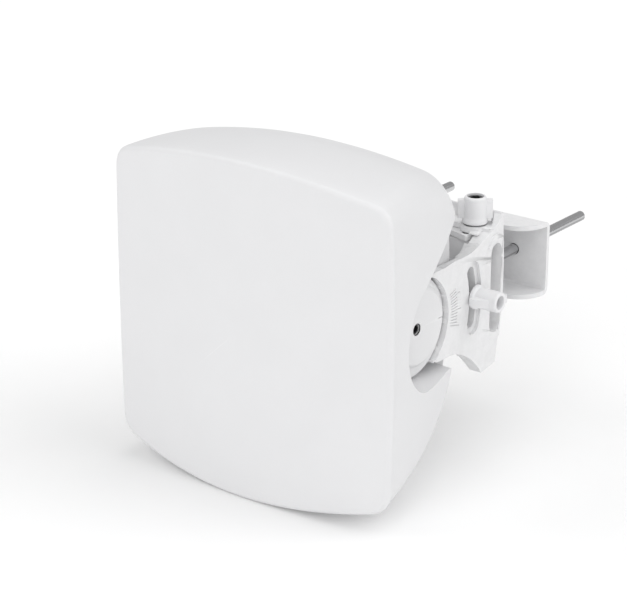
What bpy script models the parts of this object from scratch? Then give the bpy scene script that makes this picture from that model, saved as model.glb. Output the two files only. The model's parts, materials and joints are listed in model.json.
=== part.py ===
"""Outdoor wireless bridge: a domed square antenna housing on a tilting yoke with a pole clamp.

Frame: +X to the object's right seen from the front, +Y from the front face towards the pole, +Z up.
Origin: on the axis of the pole the clamp grips, at the height of the tilt axis.
All figures in the helpers are millimetres measured from the edge plane of the front face.
"""
import math
import bmesh
import bpy
from mathutils import Matrix, Vector

MM = 0.001
POLE_Y = 212.0            # pole axis behind the front face's edge plane
GAP = 0.3                 # air left between touching pieces

# housing
HALF_W = 121.0            # half width at the corners of the front face
HALF_H = 108.6            # half height at the corners of the front face
ARCH = 16.85              # rise of the arched top and bottom edges
BOW = 1.3                 # sideways bow of the side edges
BULGE = 14.4              # forward bulge of the front face at its centre line
DEPTH = 127.6             # depth of the dome behind the edge plane
REAR_END = 127.2
SPLIT_Y = 112.0           # where the radome shell meets the rear cover
WALL = 2.8
CORNER_R = 17.0
EDGE_R = 3.5
REAR_R = 9.1

# tilt axis
TILT_Y, TILT_Z = 66.8, 0.5
FLOOR_X = 81.7            # floor of the side pockets
POCKET_R = 40.5
RAMP = 3.0                # drop of the lower flank from its floor to its mouth
CAP_R = 37.0
CAP_RAISED_R = 25.0
HUB_R = 34.0
ARM_ARC_R = 38.2
ARM_IN, ARM_OUT = 86.0, 97.0
SLOT_R = 72.2             # tilt slot radius about the tilt axis
SLOT_LO, SLOT_HI = -13.4, 17.4
KNOB_Z = 3.3

# swing axis
SWING_Y = 168.0
SWING_MAX = 6.0           # fine swing either way, degrees
LOCK_X, LOCK_Y = 80.0, 162.0
LOCK_R = math.hypot(LOCK_X, LOCK_Y - SWING_Y)

# pole clamp
ROD_X, ROD_Z, ROD_R = 62.2, 2.0, 4.0
ROD_END = 343.9
WEB_Y0, WEB_Y1 = 245.0, 248.5
CLAMP_X, CLAMP_Z0, CLAMP_Z1 = 91.0, -28.5, 29.6
SHEET = 3.5

for o in list(bpy.data.objects):
    bpy.data.objects.remove(o, do_unlink=True)

scene = bpy.context.scene
PARTS = bpy.data.collections.new("outdoor_wireless_bridge")
CUTS = bpy.data.collections.new("cutters")
scene.collection.children.link(PARTS)
scene.collection.children.link(CUTS)


def material(name, rgb, rough, metal=0.0):
    m = bpy.data.materials.new(name)
    m.use_nodes = True
    b = m.node_tree.nodes["Principled BSDF"]
    b.inputs["Base Color"].default_value = (*rgb, 1.0)
    b.inputs["Roughness"].default_value = rough
    b.inputs["Metallic"].default_value = metal
    return m


M_WHITE = material("white_shell", (0.80, 0.80, 0.81), 0.45)
M_CAST = material("white_casting", (0.78, 0.78, 0.79), 0.5)
M_SHEET = material("white_sheet", (0.79, 0.79, 0.80), 0.42)
M_KNOB = material("white_knob", (0.79, 0.79, 0.80), 0.48)
M_STEEL = material("bright_steel", (0.62, 0.62, 0.63), 0.25, 1.0)
M_DARK = material("dark_steel", (0.16, 0.16, 0.17), 0.38, 1.0)
M_RUBBER = material("black_rubber", (0.03, 0.03, 0.03), 0.8)
M_ALU = material("plain_aluminium", (0.66, 0.67, 0.68), 0.35, 1.0)
M_BOARD = material("board_green", (0.04, 0.16, 0.08), 0.5)
M_CERAMIC = material("ceramic_tan", (0.62, 0.55, 0.42), 0.5)
M_CLEAR = material("frosted_pipe", (0.85, 0.87, 0.88), 0.3)
M_GREY = material("grey_plastic", (0.30, 0.31, 0.32), 0.5)


# ---------------------------------------------------------------- helpers
def place(ob, mat=None, cut=False):
    (CUTS if cut else PARTS).objects.link(ob)
    if cut:
        ob.hide_render = True
        ob.display_type = 'WIRE'
    if mat is not None:
        ob.data.materials.clear()
        ob.data.materials.append(mat)
    return ob


def from_bm(name, bm, mat=None, cut=False, smooth=30.0):
    bmesh.ops.recalc_face_normals(bm, faces=bm.faces[:])
    me = bpy.data.meshes.new(name)
    bm.to_mesh(me)
    bm.free()
    if smooth:
        me.shade_smooth()
        me.set_sharp_from_angle(angle=math.radians(smooth))
    return place(bpy.data.objects.new(name, me), mat, cut)


def settle(ob, mat=None, cut=False, weld=1e-6, smooth=30.0):
    """Turn a temporary curve or modified object into a plain world-space mesh object."""
    bpy.context.view_layer.update()
    dg = bpy.context.evaluated_depsgraph_get()
    me = bpy.data.meshes.new_from_object(ob.evaluated_get(dg))
    world = ob.matrix_world.copy()
    name = ob.name
    bpy.data.objects.remove(ob, do_unlink=True)
    bm = bmesh.new()
    bm.from_mesh(me)
    bmesh.ops.transform(bm, matrix=world, verts=bm.verts[:])
    bmesh.ops.remove_doubles(bm, verts=bm.verts[:], dist=weld)
    bpy.data.meshes.remove(me)
    return from_bm(name, bm, mat, cut, smooth)


def axes_matrix(axis):
    """Local x, y in the outline's plane and local z along the axis."""
    if axis == 'X':      # outline (y, z)
        return Matrix(((0, 0, 1, 0), (1, 0, 0, -POLE_Y * MM), (0, 1, 0, 0), (0, 0, 0, 1)))
    if axis == 'Y':      # outline (x, z), local z along -Y
        return Matrix(((1, 0, 0, 0), (0, 0, -1, -POLE_Y * MM), (0, 1, 0, 0), (0, 0, 0, 1)))
    return Matrix(((1, 0, 0, 0), (0, 1, 0, -POLE_Y * MM), (0, 0, 1, 0), (0, 0, 0, 1)))


def flat(name, outline, axis, lo, hi, mat=None, holes=(), cut=False, bevel=0.0):
    cu = bpy.data.curves.new(name, 'CURVE')
    cu.dimensions = '2D'
    cu.fill_mode = 'BOTH'
    cu.extrude = (hi - lo) / 2 * MM
    for loop in (outline, *holes):
        sp = cu.splines.new('POLY')
        sp.points.add(len(loop) - 1)
        for p, (a, b) in zip(sp.points, loop):
            p.co = (a * MM, b * MM, 0.0, 1.0)
        sp.use_cyclic_u = True
    ob = bpy.data.objects.new(name, cu)
    scene.collection.objects.link(ob)
    mid = (lo + hi) / 2 * MM * (-1 if axis == 'Y' else 1)
    ob.matrix_world = axes_matrix(axis) @ Matrix.Translation((0, 0, mid))
    ob = settle(ob, mat, cut)
    if bevel:
        add_bevel(ob, bevel)
    return ob


def add_bevel(ob, width, segments=1, angle=35):
    m = ob.modifiers.new("edge", 'BEVEL')
    m.width = width * MM
    m.segments = segments
    m.limit_method = 'ANGLE'
    m.angle_limit = math.radians(angle)


def box(name, x0, x1, y0, y1, z0, z1, mat=None, cut=False, bevel=0.0):
    bm = bmesh.new()
    bmesh.ops.create_cube(bm, size=1.0)
    bmesh.ops.scale(bm, vec=((x1 - x0) * MM, (y1 - y0) * MM, (z1 - z0) * MM), verts=bm.verts[:])
    bmesh.ops.translate(bm, vec=((x0 + x1) / 2 * MM, ((y0 + y1) / 2 - POLE_Y) * MM, (z0 + z1) / 2 * MM), verts=bm.verts[:])
    ob = from_bm(name, bm, mat, cut, 0)
    if bevel:
        add_bevel(ob, bevel)
    return ob


def rod(name, axis, lo, hi, c, r, mat=None, cut=False, seg=32, r2=None, bevel=0.0, turn=0.0):
    """Cylinder or cone along an axis; c is the centre in the two other coordinates, in X, Y, Z order."""
    bm = bmesh.new()
    bmesh.ops.create_cone(bm, cap_ends=True, segments=seg, radius1=r * MM, radius2=(r if r2 is None else r2) * MM,
                          depth=(hi - lo) * MM)
    mid = (lo + hi) / 2
    if axis == 'X':
        m = Matrix.Translation((mid * MM, (c[0] - POLE_Y) * MM, c[1] * MM)) @ Matrix.Rotation(math.pi / 2, 4, 'Y')
    elif axis == 'Y':
        m = Matrix.Translation((c[0] * MM, (mid - POLE_Y) * MM, c[1] * MM)) @ Matrix.Rotation(-math.pi / 2, 4, 'X')
    else:
        m = Matrix.Translation((c[0] * MM, (c[1] - POLE_Y) * MM, mid * MM))
    bmesh.ops.transform(bm, matrix=m @ Matrix.Rotation(turn, 4, 'Z'), verts=bm.verts[:])
    ob = from_bm(name, bm, mat, cut)
    if bevel:
        add_bevel(ob, bevel)
    return ob


def turned(name, profile, axis, c, mat=None, cut=False, steps=40, flip=False):
    """Turned shape from (radius, height) pairs; the profile runs from the top down its outer side."""
    me = bpy.data.meshes.new(name)
    me.from_pydata([(r * MM, 0.0, h * MM) for r, h in profile], [(i, i + 1) for i in range(len(profile) - 1)], [])
    ob = bpy.data.objects.new(name, me)
    scene.collection.objects.link(ob)
    s = ob.modifiers.new("turn", 'SCREW')
    s.steps = steps
    s.render_steps = steps
    s.use_merge_vertices = True
    s.merge_threshold = 1e-6
    if axis == 'X':
        m = Matrix.Translation((0.0, (c[0] - POLE_Y) * MM, c[1] * MM)) @ Matrix.Rotation(math.pi / 2, 4, 'Y')
    elif axis == 'Y':
        m = Matrix.Translation((c[0] * MM, -POLE_Y * MM, c[1] * MM)) @ Matrix.Rotation(-math.pi / 2, 4, 'X')
    else:
        m = Matrix.Translation((c[0] * MM, (c[1] - POLE_Y) * MM, 0.0))
    ob.matrix_world = m
    return settle(ob, mat, cut)


def carve(ob, *others, op='DIFFERENCE'):
    for o in others:
        m = ob.modifiers.new(op.lower(), 'BOOLEAN')
        m.operation = op
        m.solver = 'EXACT'
        m.object = o
    return ob


def mirrored(ob, name):
    """A left-hand copy of a right-hand piece as its own object."""
    bpy.context.view_layer.update()
    dg = bpy.context.evaluated_depsgraph_get()
    me = bpy.data.meshes.new_from_object(ob.evaluated_get(dg))
    bm = bmesh.new()
    bm.from_mesh(me)
    bmesh.ops.scale(bm, vec=(-1, 1, 1), verts=bm.verts[:])
    bmesh.ops.reverse_faces(bm, faces=bm.faces[:])
    bpy.data.meshes.remove(me)
    return from_bm(name, bm, ob.data.materials[0] if ob.data.materials else None)


def arc(cy, cz, r, a0, a1, n):
    return [(cy + r * math.cos(math.radians(a0 + (a1 - a0) * i / n)),
             cz + r * math.sin(math.radians(a0 + (a1 - a0) * i / n))) for i in range(n + 1)]


def racetrack(c0, c1, lo, hi, r, n=10):
    """Slot along the second coordinate, from lo to hi overall, centred on c0 (c1 unused offset)."""
    return arc(c0, hi - r, r, 0, 180, n) + arc(c0 + c1, lo + r, r, 180, 360, n)


def arc_slot(cy, cz, rad, a0, a1, half, n=12, m=8):
    e0 = (cy + rad * math.cos(math.radians(a0)), cz + rad * math.sin(math.radians(a0)))
    e1 = (cy + rad * math.cos(math.radians(a1)), cz + rad * math.sin(math.radians(a1)))
    pts = arc(cy, cz, rad + half, a0, a1, n)
    pts += arc(e1[0], e1[1], half, a1, a1 + 180, m)[1:-1]
    pts += arc(cy, cz, rad - half, a1, a0, n)
    pts += arc(e0[0], e0[1], half, a0 + 180, a0 + 360, m)[1:-1]
    return pts


def hexagon(r_flat, turn=0.0):
    r = r_flat / math.cos(math.pi / 6)
    return r, turn


def axis_empty(name, x, y, z, kids):
    e = bpy.data.objects.new(name, None)
    e.empty_display_size = 0.02
    e.location = (x * MM, (y - POLE_Y) * MM, z * MM)
    PARTS.objects.link(e)
    bpy.context.view_layer.update()
    for k in kids:
        k.parent = e
        k.matrix_parent_inverse = e.matrix_world.inverted()


# ---------------------------------------------------------------- housing loft
def outline(y, inset=0.0, top=13, side=7, cor=4):
    """Cross-section of the housing at depth y, moved inwards by inset, as (x, z) pairs."""
    yy = min(max(y, 0.0), REAR_END)
    s = max(1.0 - (yy / DEPTH) ** 1.828, 1e-4) ** (1 / 5.212)
    w = HALF_W - 0.112 * yy - 0.00099 * yy * yy
    over = max(yy - (DEPTH - REAR_R), 0.0)
    w -= REAR_R * (1 - math.sqrt(max(1 - (over / REAR_R) ** 2, 0.0)))
    w -= inset
    h = HALF_H * s - inset
    a = ARCH * s ** 2.886
    zs = 0.11 * yy
    r = max(CORNER_R + 0.10 * yy - inset, 3.0)
    xt = w - r
    for _ in range(6):
        al = math.atan(2 * a * xt / (w * w))
        xt = w - r + r * math.sin(al)
    zt = h + a * (1 - (xt / w) ** 2)
    zc = zt - r * math.cos(al)
    half = []
    for i in range(side // 2 + 1):
        z = zc * i / (side // 2 + 0.0)
        half.append((w + BOW * s * (1 - (z / zc) ** 2), z))
    for i in range(1, cor + 1):
        t = math.pi / 2 - (math.pi / 2 - al) * i / cor
        half.append((w - r + r * math.sin(t), zc + r * math.cos(t)))
    for i in range(1, top // 2 + 1):
        x = xt * (1 - i / (top // 2 + 0.0))
        half.append((x, h + a * (1 - (x / w) ** 2)))
    q1 = half
    q2 = [(-x, z) for x, z in reversed(half[:-1])]
    up = q1 + q2
    low = [(x, -z) for x, z in reversed(up[1:-1])]
    return [(x, z + zs) for x, z in up + low]


def bulge(x, y, fade=60.0):
    return BULGE * (1 - (x / HALF_W) ** 2) * max(0.0, 1 - y / fade)


def loft(name, rings, front_fan, cut=False, mat=None, rear_fan=False):
    bm = bmesh.new()
    rows = [[bm.verts.new((x * MM, (y - POLE_Y) * MM, z * MM)) for x, y, z in ring] for ring in rings]
    n = len(rows[0])
    for a, b in zip(rows, rows[1:]):
        for i in range(n):
            j = (i + 1) % n
            bm.faces.new((a[i], a[j], b[j], b[i]))
    if front_fan is not None:
        c = bm.verts.new((front_fan[0] * MM, (front_fan[1] - POLE_Y) * MM, front_fan[2] * MM))
        for i in range(n):
            bm.faces.new((rows[0][(i + 1) % n], rows[0][i], c))
    else:
        bm.faces.new(list(reversed(rows[0])))
    if rear_fan:
        last = rings[-1]
        c = bm.verts.new((0.0, (last[0][1] - POLE_Y) * MM, (last[0][2] + last[n // 2][2]) / 2 * MM))
        for i in range(n):
            bm.faces.new((rows[-1][i], rows[-1][(i + 1) % n], c))
    else:
        bm.faces.new(rows[-1])
    return from_bm(name, bm, mat, cut, 28.0)


def shell_rings(inset, y_end, extra=0.0, n_front=(0.25, 0.5, 0.75, 0.92), depth=()):
    rings = []
    edge = EDGE_R if inset == 0 else 1.0
    base = outline(0.0, inset + edge)
    for s in n_front:
        rings.append([(x * s, inset - bulge(x * s, 0), z * s) for x, z in base])
    steps = 2 if inset == 0 else 1
    for k in range(steps + 1):
        t = math.pi / 2 * k / steps
        o = outline(0.0, inset + edge * (1 - math.sin(t)))
        rings.append([(x, inset + edge * (1 - math.cos(t)) - bulge(x, 0), z) for x, z in o])
    for y in depth:
        o = outline(y, inset)
        rings.append([(x, y - bulge(x, y), z) for x, z in o])
    o = outline(min(y_end, REAR_END), inset)
    rings.append([(x, y_end + extra, z) for x, z in o])
    return rings


def pocket(name, grow, out=135.0):
    """Cutter for one side pocket: round about the tilt axis, opening towards the rear along the arm's sweep."""
    def loop(r, up, drop):
        pts = arc(TILT_Y, TILT_Z, r, 118, 258, 14)
        pts += [(y, z - drop) for y, z in ((82.0, -39.6), (98.0, -39.8), (107.5, -41.0), (117.5, -46.4), (128.0, -54.0), (150.0, -69.0))]
        ty, tz = pts[0]
        return [(150.0, tz + (150.0 - ty) * math.tan(math.radians(up)))] + pts
    a = loop(POCKET_R + grow - 1.0, 27.5, grow)
    b = loop(POCKET_R + grow + 1.6, 28.0, grow + RAMP)
    xa, xb = FLOOR_X - grow, out
    bm = bmesh.new()
    ra = [bm.verts.new((xa * MM, (y - POLE_Y) * MM, z * MM)) for y, z in a]
    rb = [bm.verts.new((xb * MM, (y - POLE_Y) * MM, z * MM)) for y, z in b]
    for i in range(len(ra)):
        j = (i + 1) % len(ra)
        bm.faces.new((ra[i], ra[j], rb[j], rb[i]))
    bm.faces.new(list(reversed(ra)))
    bm.faces.new(rb)
    return from_bm(name, bm, None, True, 0)


def mirror_cut(ob, name):
    bm = bmesh.new()
    bm.from_mesh(ob.data)
    bmesh.ops.scale(bm, vec=(-1, 1, 1), verts=bm.verts[:])
    bmesh.ops.reverse_faces(bm, faces=bm.faces[:])
    return from_bm(name, bm, None, True, 0)


def both(name, make):
    r = make(name + "_r")
    return r, mirror_cut(r, name + "_l")


pk0 = both("cut_pocket", lambda n: pocket(n, 0.0))
pkw = both("cut_pocket_wall", lambda n: pocket(n, WALL))

BOSS = [(60.0, 74.0, 1), (-60.0, 74.0, 1), (60.0, -46.0, -1), (-60.0, -46.0, -1)]
POST = [(53.0, 44.0), (-53.0, 44.0), (53.0, -36.0), (-53.0, -36.0)]

# front shell
radome = loft("radome_shell", shell_rings(0.0, SPLIT_Y, depth=(18, 38, 58, 76, 92, 103)), (0, -BULGE, 0), mat=M_WHITE, rear_fan=True)
hollow = loft("cut_radome_hollow", shell_rings(WALL, SPLIT_Y, extra=3.0, n_front=(0.4, 0.75), depth=(26, 52, 76, 95, 106, 112)),
              (0, WALL - BULGE, 0), cut=True)
carve(hollow, *pkw)
for i, (x, z, s) in enumerate(BOSS):
    carve(hollow, rod("cut_keep_boss_%d" % i, 'Y', 78.0, 120.0, (x, z), 6.0, cut=True, seg=14))
    z1 = z + s * 34.0
    carve(hollow, box("cut_keep_rib_%d" % i, x - 1.2, x + 1.2, 80.0, 109.2, min(z, z1), max(z, z1), cut=True))
for sx, tag in ((1, "r"), (-1, "l")):
    carve(hollow, rod("cut_keep_pivot_" + tag, 'X', min(sx * 62, sx * 84), max(sx * 62, sx * 84), (TILT_Y, TILT_Z), 9.0, cut=True, seg=20))
carve(radome, *pk0, hollow)
for sx, tag in ((1, "r"), (-1, "l")):
    carve(radome, rod("cut_pivot_tap_" + tag, 'X', min(sx * 64.5, sx * 84), max(sx * 64.5, sx * 84), (TILT_Y, TILT_Z), 3.9, cut=True, seg=18))
for i, (x, z, s) in enumerate(BOSS):
    carve(radome, rod("cut_boss_hole_%d" % i, 'Y', 93.0, 120.0, (x, z), 2.0, cut=True, seg=12))

# rear cover with ribs, port bay and door opening
def cover_rings(inset, y0, y1, ys):
    return [[(x, y, z) for x, z in outline(q, inset)] for y, q in ys]


BAY_X, BAY_Z0, BAY_Z1 = 43.0, -54.0, -6.0
cover = loft("rear_cover", [[(x, y, z) for x, z in outline(y)] for y in (SPLIT_Y + GAP, 115.5, 118.5, 121.0, 123.0, 124.8, 126.2, REAR_END)],
             None, mat=M_CAST)
ribs = []
for i in range(7):
    x = -57.0 + 19.0 * i
    ribs.append(box("cut_rib_%d" % i, x - 1.3, x + 1.3, 118.0, 131.5, 10.0, 72.0, cut=True))
for r_ in ribs:
    carve(cover, r_, op='UNION')
hollow2 = loft("cut_cover_hollow", [[(x, y, z) for x, z in outline(q, WALL)] for y, q in
               ((108.0, SPLIT_Y), (SPLIT_Y, SPLIT_Y), (115.0, 116.5), (118.0, 120.5), (121.0, 124.0), (123.2, 126.6))], None, cut=True)
carve(hollow2, *pkw)
for i, (x, z, s) in enumerate(BOSS):
    carve(hollow2, rod("cut_keep_ear_%d" % i, 'Y', SPLIT_Y + GAP, 130.0, (x, z), 6.0, cut=True, seg=14))
for i, (x, z) in enumerate(POST):
    carve(hollow2, rod("cut_keep_post_%d" % i, 'Y', 119.0, 130.0, (x, z), 5.0, cut=True, seg=12))
carve(cover, hollow2, *pk0)
tub = box("cut_tub_outer", -BAY_X - 2.5, BAY_X + 2.5, 91.0, 124.0, BAY_Z0 - 2.5, BAY_Z1 + 2.5, cut=True)
carve(tub, box("cut_tub_mouth_trim", -60, 60, 121.0, 130.0, -70, -52.0, cut=True))
carve(cover, tub, op='UNION')
for i, (x, z) in enumerate(POST):
    carve(cover, rod("cut_post_%d" % i, 'Y', 20.7, 122.0, (x, z), 3.9, cut=True, seg=14), op='UNION')
    carve(cover, rod("cut_post_pin_%d" % i, 'Y', 14.5, 40.0, (x, z), 1.8, cut=True, seg=12), op='UNION')
carve(cover, box("cut_bay", -BAY_X, BAY_X, 93.5, 140.0, BAY_Z0, BAY_Z1, cut=True))
carve(cover, box("cut_jack_window_a", -25.4, -8.6, 80.0, 96.0, -42.4, -27.6, cut=True),
      box("cut_jack_window_b", 5.6, 21.4, 80.0, 96.0, -40.4, -29.6, cut=True),
      rod("cut_button_hole", 'Y', 80.0, 96.0, (32.0, -35.0), 2.4, cut=True, seg=20),
      rod("cut_light_hole", 'Y', 80.0, 96.0, (-33.0, -35.0), 1.8, cut=True, seg=20))
for i, (x, z, s) in enumerate(BOSS):
    carve(cover, rod("cut_ear_bore_%d" % i, 'Y', 117.6, 140.0, (x, z), 4.2, cut=True, seg=18),
          rod("cut_ear_hole_%d" % i, 'Y', 108.0, 120.0, (x, z), 2.1, cut=True, seg=12))
carve(cover, rod("cut_vent_hole", 'Y', 110.0, 140.0, (-66.0, -8.0), 4.3, cut=True, seg=20),
      rod("cut_ground_bore", 'Y', 121.0, 140.0, (66.0, -8.0), 6.5, cut=True, seg=20),
      rod("cut_ground_tap", 'Y', 110.0, 126.0, (66.0, -8.0), 2.3, cut=True, seg=20),
      box("cut_seal_notch", -16.3, 16.3, 108.0, 140.0, -60.7, BAY_Z0 + 1.0, cut=True))

# door of the port bay: the cut-out piece of the rear wall, hinged along its lower edge
HINGE_Y, HINGE_Z = 124.6, -51.0
door = loft("port_door", [[(x, y, z) for x, z in outline(y)] for y in (118.0, 121.0, 123.0, 124.8, 126.2, REAR_END)], None, mat=M_CAST)
carve(door, box("cut_door_outline", -BAY_X + 0.4, BAY_X - 0.4, 123.2, 140.0, -50.6, BAY_Z1 - 0.4, cut=True), op='INTERSECT')
carve(door, rod("cut_door_barrel", 'X', -30.0, 30.0, (HINGE_Y, HINGE_Z), 2.3, cut=True, seg=14), op='UNION')
carve(door, rod("cut_door_bore", 'X', -50.0, 50.0, (HINGE_Y, HINGE_Z), 1.15, cut=True, seg=12))
for sx, tag in ((1, "r"), (-1, "l")):
    a_, b_ = sorted((sx * 30.4, sx * 36.4))
    lug = rod("cut_lug_" + tag, 'X', a_, b_, (HINGE_Y, HINGE_Z), 2.3, cut=True, seg=20)
    carve(cover, box("cut_lug_web_" + tag, a_, b_, 119.0, 125.5, -57.0, -51.0, cut=True), lug, op='UNION')
    carve(door, box("cut_lug_room_" + tag, a_ - 0.6, b_ + 0.6, 118.0, 130.0, -56.0, -47.8, cut=True))
carve(cover, rod("cut_pin_bore", 'X', -40.0, 40.0, (HINGE_Y, HINGE_Z), 1.05, cut=True, seg=12),
      rod("cut_barrel_room", 'X', -30.4, 30.4, (HINGE_Y, HINGE_Z), 3.0, cut=True, seg=18))
door_pin = rod("door_pin", 'X', -36.0, 36.0, (HINGE_Y, HINGE_Z), 1.0, M_STEEL, seg=16)

# small pieces of the rear cover
for i, (x, z, s) in enumerate(BOSS):
    sc = turned("cover_screw_%d" % (i + 1), [(0, 118.9), (1.2, 118.9), (1.6, 120.6), (3.0, 120.6), (3.8, 119.6), (3.8, 117.9), (1.8, 117.9),
                                             (1.8, 96.5), (1.2, 95.3), (0, 95.3)], 'Y', (x, z), M_STEEL, steps=16)
vent = turned("vent_plug", [(0, 127.9), (5.2, 127.9), (6.4, 127.2), (6.4, 127.5 - 0.2), (4.0, 127.3), (4.0, 121.0), (0, 121.0)], 'Y', (-66.0, -8.0), M_GREY, steps=18)
ground = turned("ground_screw", [(0, 124.2), (1.4, 124.2), (2.0, 126.6), (3.4, 126.6), (4.6, 125.4), (4.6, 121.3), (2.0, 121.3), (2.0, 111.5), (0, 111.5)],
                'Y', (66.0, -8.0), M_STEEL, steps=14)
seal = box("cable_seal", -16.0, 16.0, 113.2, 121.6, -60.4, BAY_Z0 + 2.6, M_RUBBER)
carve(seal, rod("cut_seal_a", 'Y', 100.0, 140.0, (-7.0, -56.0), 2.6, cut=True, seg=12),
      rod("cut_seal_b", 'Y', 100.0, 140.0, (7.0, -56.0), 2.6, cut=True, seg=12))


# gasket squeezed where the rear cover meets the shell, following the pocket walls
def band_blank(name, inset, y0, y1, cut):
    o = outline(y1, inset)
    return loft(name, [[(x, y0, z) for x, z in o], [(x, y1, z) for x, z in o]], None, cut=cut, mat=None if cut else M_RUBBER)


gasket = band_blank("cover_gasket", WALL + 1.7, 109.6, 112.8, False)
gk = both("cut_pocket_gasket", lambda n: pocket(n, WALL + 0.4))
gk2 = both("cut_pocket_gasket_in", lambda n: pocket(n, WALL + 2.2))
gin = band_blank("cut_gasket_in", WALL + 3.5, 105.0, 118.0, True)
carve(gin, *gk2)
carve(gasket, *gk, gin)

# ---------------------------------------------------------------- inside the housing
chassis = flat("chassis_plate", [(-95, -78), (95, -78), (95, 78), (-95, 78)], 'Y', 17.0, 20.4, M_ALU,
               holes=[arc(x, z, 2.2, 0, 337.5, 15) for x, z in POST])
for i, (x, z) in enumerate([(44, 36), (-44, 36), (44, -36), (-44, -36), (80, 0), (-80, 0)]):
    carve(chassis, rod("cut_standoff_%d" % i, 'Y', 9.9, 18.0, (x, z), 3.0, cut=True, seg=14), op='UNION')
main_board = flat("main_board", [(-58, -60), (58, -60), (58, 62), (-58, 62)], 'Y', 70.0, 71.6, M_BOARD,
                  holes=[arc(x, z, 4.3, 0, 342, 19) for x, z in POST])
shield = box("rf_shield", -30, 30, 58.0, 69.7, -4.0, 48.0, M_STEEL)
carve(shield, box("cut_shield", -29.4, 29.4, 58.6, 72.0, -3.4, 47.4, cut=True))
array_board = flat("array_board", [(-52, -46), (52, -46), (52, 46), (-52, 46)], 'Y', 8.0, 9.6, M_BOARD)
lens = turned("array_lens", [(0, 7.7), (30, 7.7), (30, 3.2), (26, -1.5), (18, -5.6), (9, -7.8), (0, -8.4)], 'Y', (0, 0), M_GREY, steps=24)
patch_r = box("patch_antenna_r", 62.0, 98.0, 8.4, 9.6, -18.0, 18.0, M_ALU)
patch_l = mirrored(patch_r, "patch_antenna_l")
gnss = box("gnss_patch", 66.0, 84.0, 12.2, 16.7, 46.0, 64.0, M_CERAMIC, bevel=0.6)
jack = box("ethernet_jack", -25.0, -9.0, 71.9, 93.0, -42.0, -28.0, M_ALU)
carve(jack, box("cut_jack_mouth", -23.2, -10.8, 79.0, 96.0, -39.6, -31.0, cut=True))
cage = box("fibre_cage", 6.0, 21.0, 71.9, 93.0, -40.0, -30.0, M_ALU)
carve(cage, box("cut_cage_mouth", 6.8, 20.2, 75.0, 96.0, -39.2, -30.8, cut=True))
button = turned("reset_button", [(0, 95.2), (1.5, 95.2), (2.0, 94.8), (2.0, 90.5), (3.6, 90.5), (3.6, 89.3), (0, 89.3)], 'Y', (32.0, -35.0), M_GREY, steps=12)
light = turned("status_light_pipe", [(0, 95.0), (1.5, 94.4), (1.5, 90.6), (2.6, 90.6), (2.6, 89.6), (1.2, 89.2), (1.2, 72.2), (0, 72.2)], 'Y', (-33.0, -35.0), M_CLEAR, steps=12)

# ---------------------------------------------------------------- tilt hardware, right side then mirrored
# plate fixed to the housing, reaching back to the tilt lock
tail_a = (139.0, KNOB_Z)
tilt_out = arc(TILT_Y, TILT_Z, 33.0, 30, 330, 30)
tilt_out += [(126.0, -7.6)] + arc(139.0, KNOB_Z, 10.8, -75, 75, 12) + [(126.0, 13.8)]
tilt_plate = flat("tilt_plate_r", tilt_out, 'X', FLOOR_X + GAP, 85.6, M_SHEET,
                  holes=[arc(TILT_Y, TILT_Z, 4.2, 0, 345, 23), arc(139.0, KNOB_Z, 3.4, 0, 340, 17)])
cap = turned("pivot_cap_r", [(3.9, 96.4), (23.4, 96.4), (24.6, 96.0), (25.4, 93.5), (26.2, 93.2), (36.2, 93.2), (37.0, 92.4), (37.0, 90.9), (9.0, 90.9), (9.0, 86.0),
                             (3.9, 86.0), (3.9, 96.4)], 'X', (TILT_Y, TILT_Z), M_WHITE, steps=40)
pivot = turned("pivot_screw_r", [(0, 86.6), (1.8, 86.6), (2.1, 89.2), (3.2, 89.2), (3.7, 88.7), (3.7, 66.0), (3.0, 65.2), (0, 65.2)], 'X', (TILT_Y, TILT_Z), M_DARK, steps=14)

# lock knob in the tilt slot
elev = turned("tilt_knob_r", [(4.9, 118.6), (6.6, 118.6), (7.4, 117.8), (7.5, 100.6), (9.0, 100.0), (9.2, 97.5), (3.2, 97.5), (3.2, 108.5), (4.9, 110.5), (4.9, 118.6)],
              'X', (139.0, KNOB_Z), M_KNOB, steps=20)
wing = flat("cut_tilt_wing", [(y, KNOB_Z + dz) for y, dz in [(127.6, -2.3), (131.2, -2.7), (131.2, 2.7), (127.6, 2.3)]], 'X', 99.4, 114.6, cut=True, bevel=0.9)
wing2 = flat("cut_tilt_wing2", [(y, KNOB_Z + dz) for y, dz in [(146.8, -2.7), (150.4, -2.3), (150.4, 2.3), (146.8, 2.7)]], 'X', 99.4, 114.6, cut=True, bevel=0.9)
web_a = box("cut_tilt_wing_root_a", 99.4, 114.6, 130.4, 134.6, KNOB_Z - 2.6, KNOB_Z + 2.6, cut=True)
web_b = box("cut_tilt_wing_root_b", 99.4, 114.6, 143.4, 147.6, KNOB_Z - 2.6, KNOB_Z + 2.6, cut=True)
carve(elev, wing, wing2, web_a, web_b, op='UNION')
stud = turned("tilt_stud_r", [(0, 104.5), (2.0, 104.5), (2.0, 107.8), (2.9, 107.8), (2.9, 76.6), (2.4, 76.0), (0, 76.0)], 'X', (139.0, KNOB_Z), M_STEEL, steps=14)
nut = rod("tilt_nut_r", 'X', 77.2, 81.7, (139.0, KNOB_Z), 5.77, M_STEEL, seg=6)
carve(nut, rod("cut_tilt_nut", 'X', 70, 90, (139.0, KNOB_Z), 3.2, cut=True, seg=18))
for piece, nm in ((tilt_plate, "tilt_plate_l"), (cap, "pivot_cap_l"), (pivot, "pivot_screw_l"), (elev, "tilt_knob_l"), (stud, "tilt_stud_l"), (nut, "tilt_nut_l")):
    mirrored(piece, nm)

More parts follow.
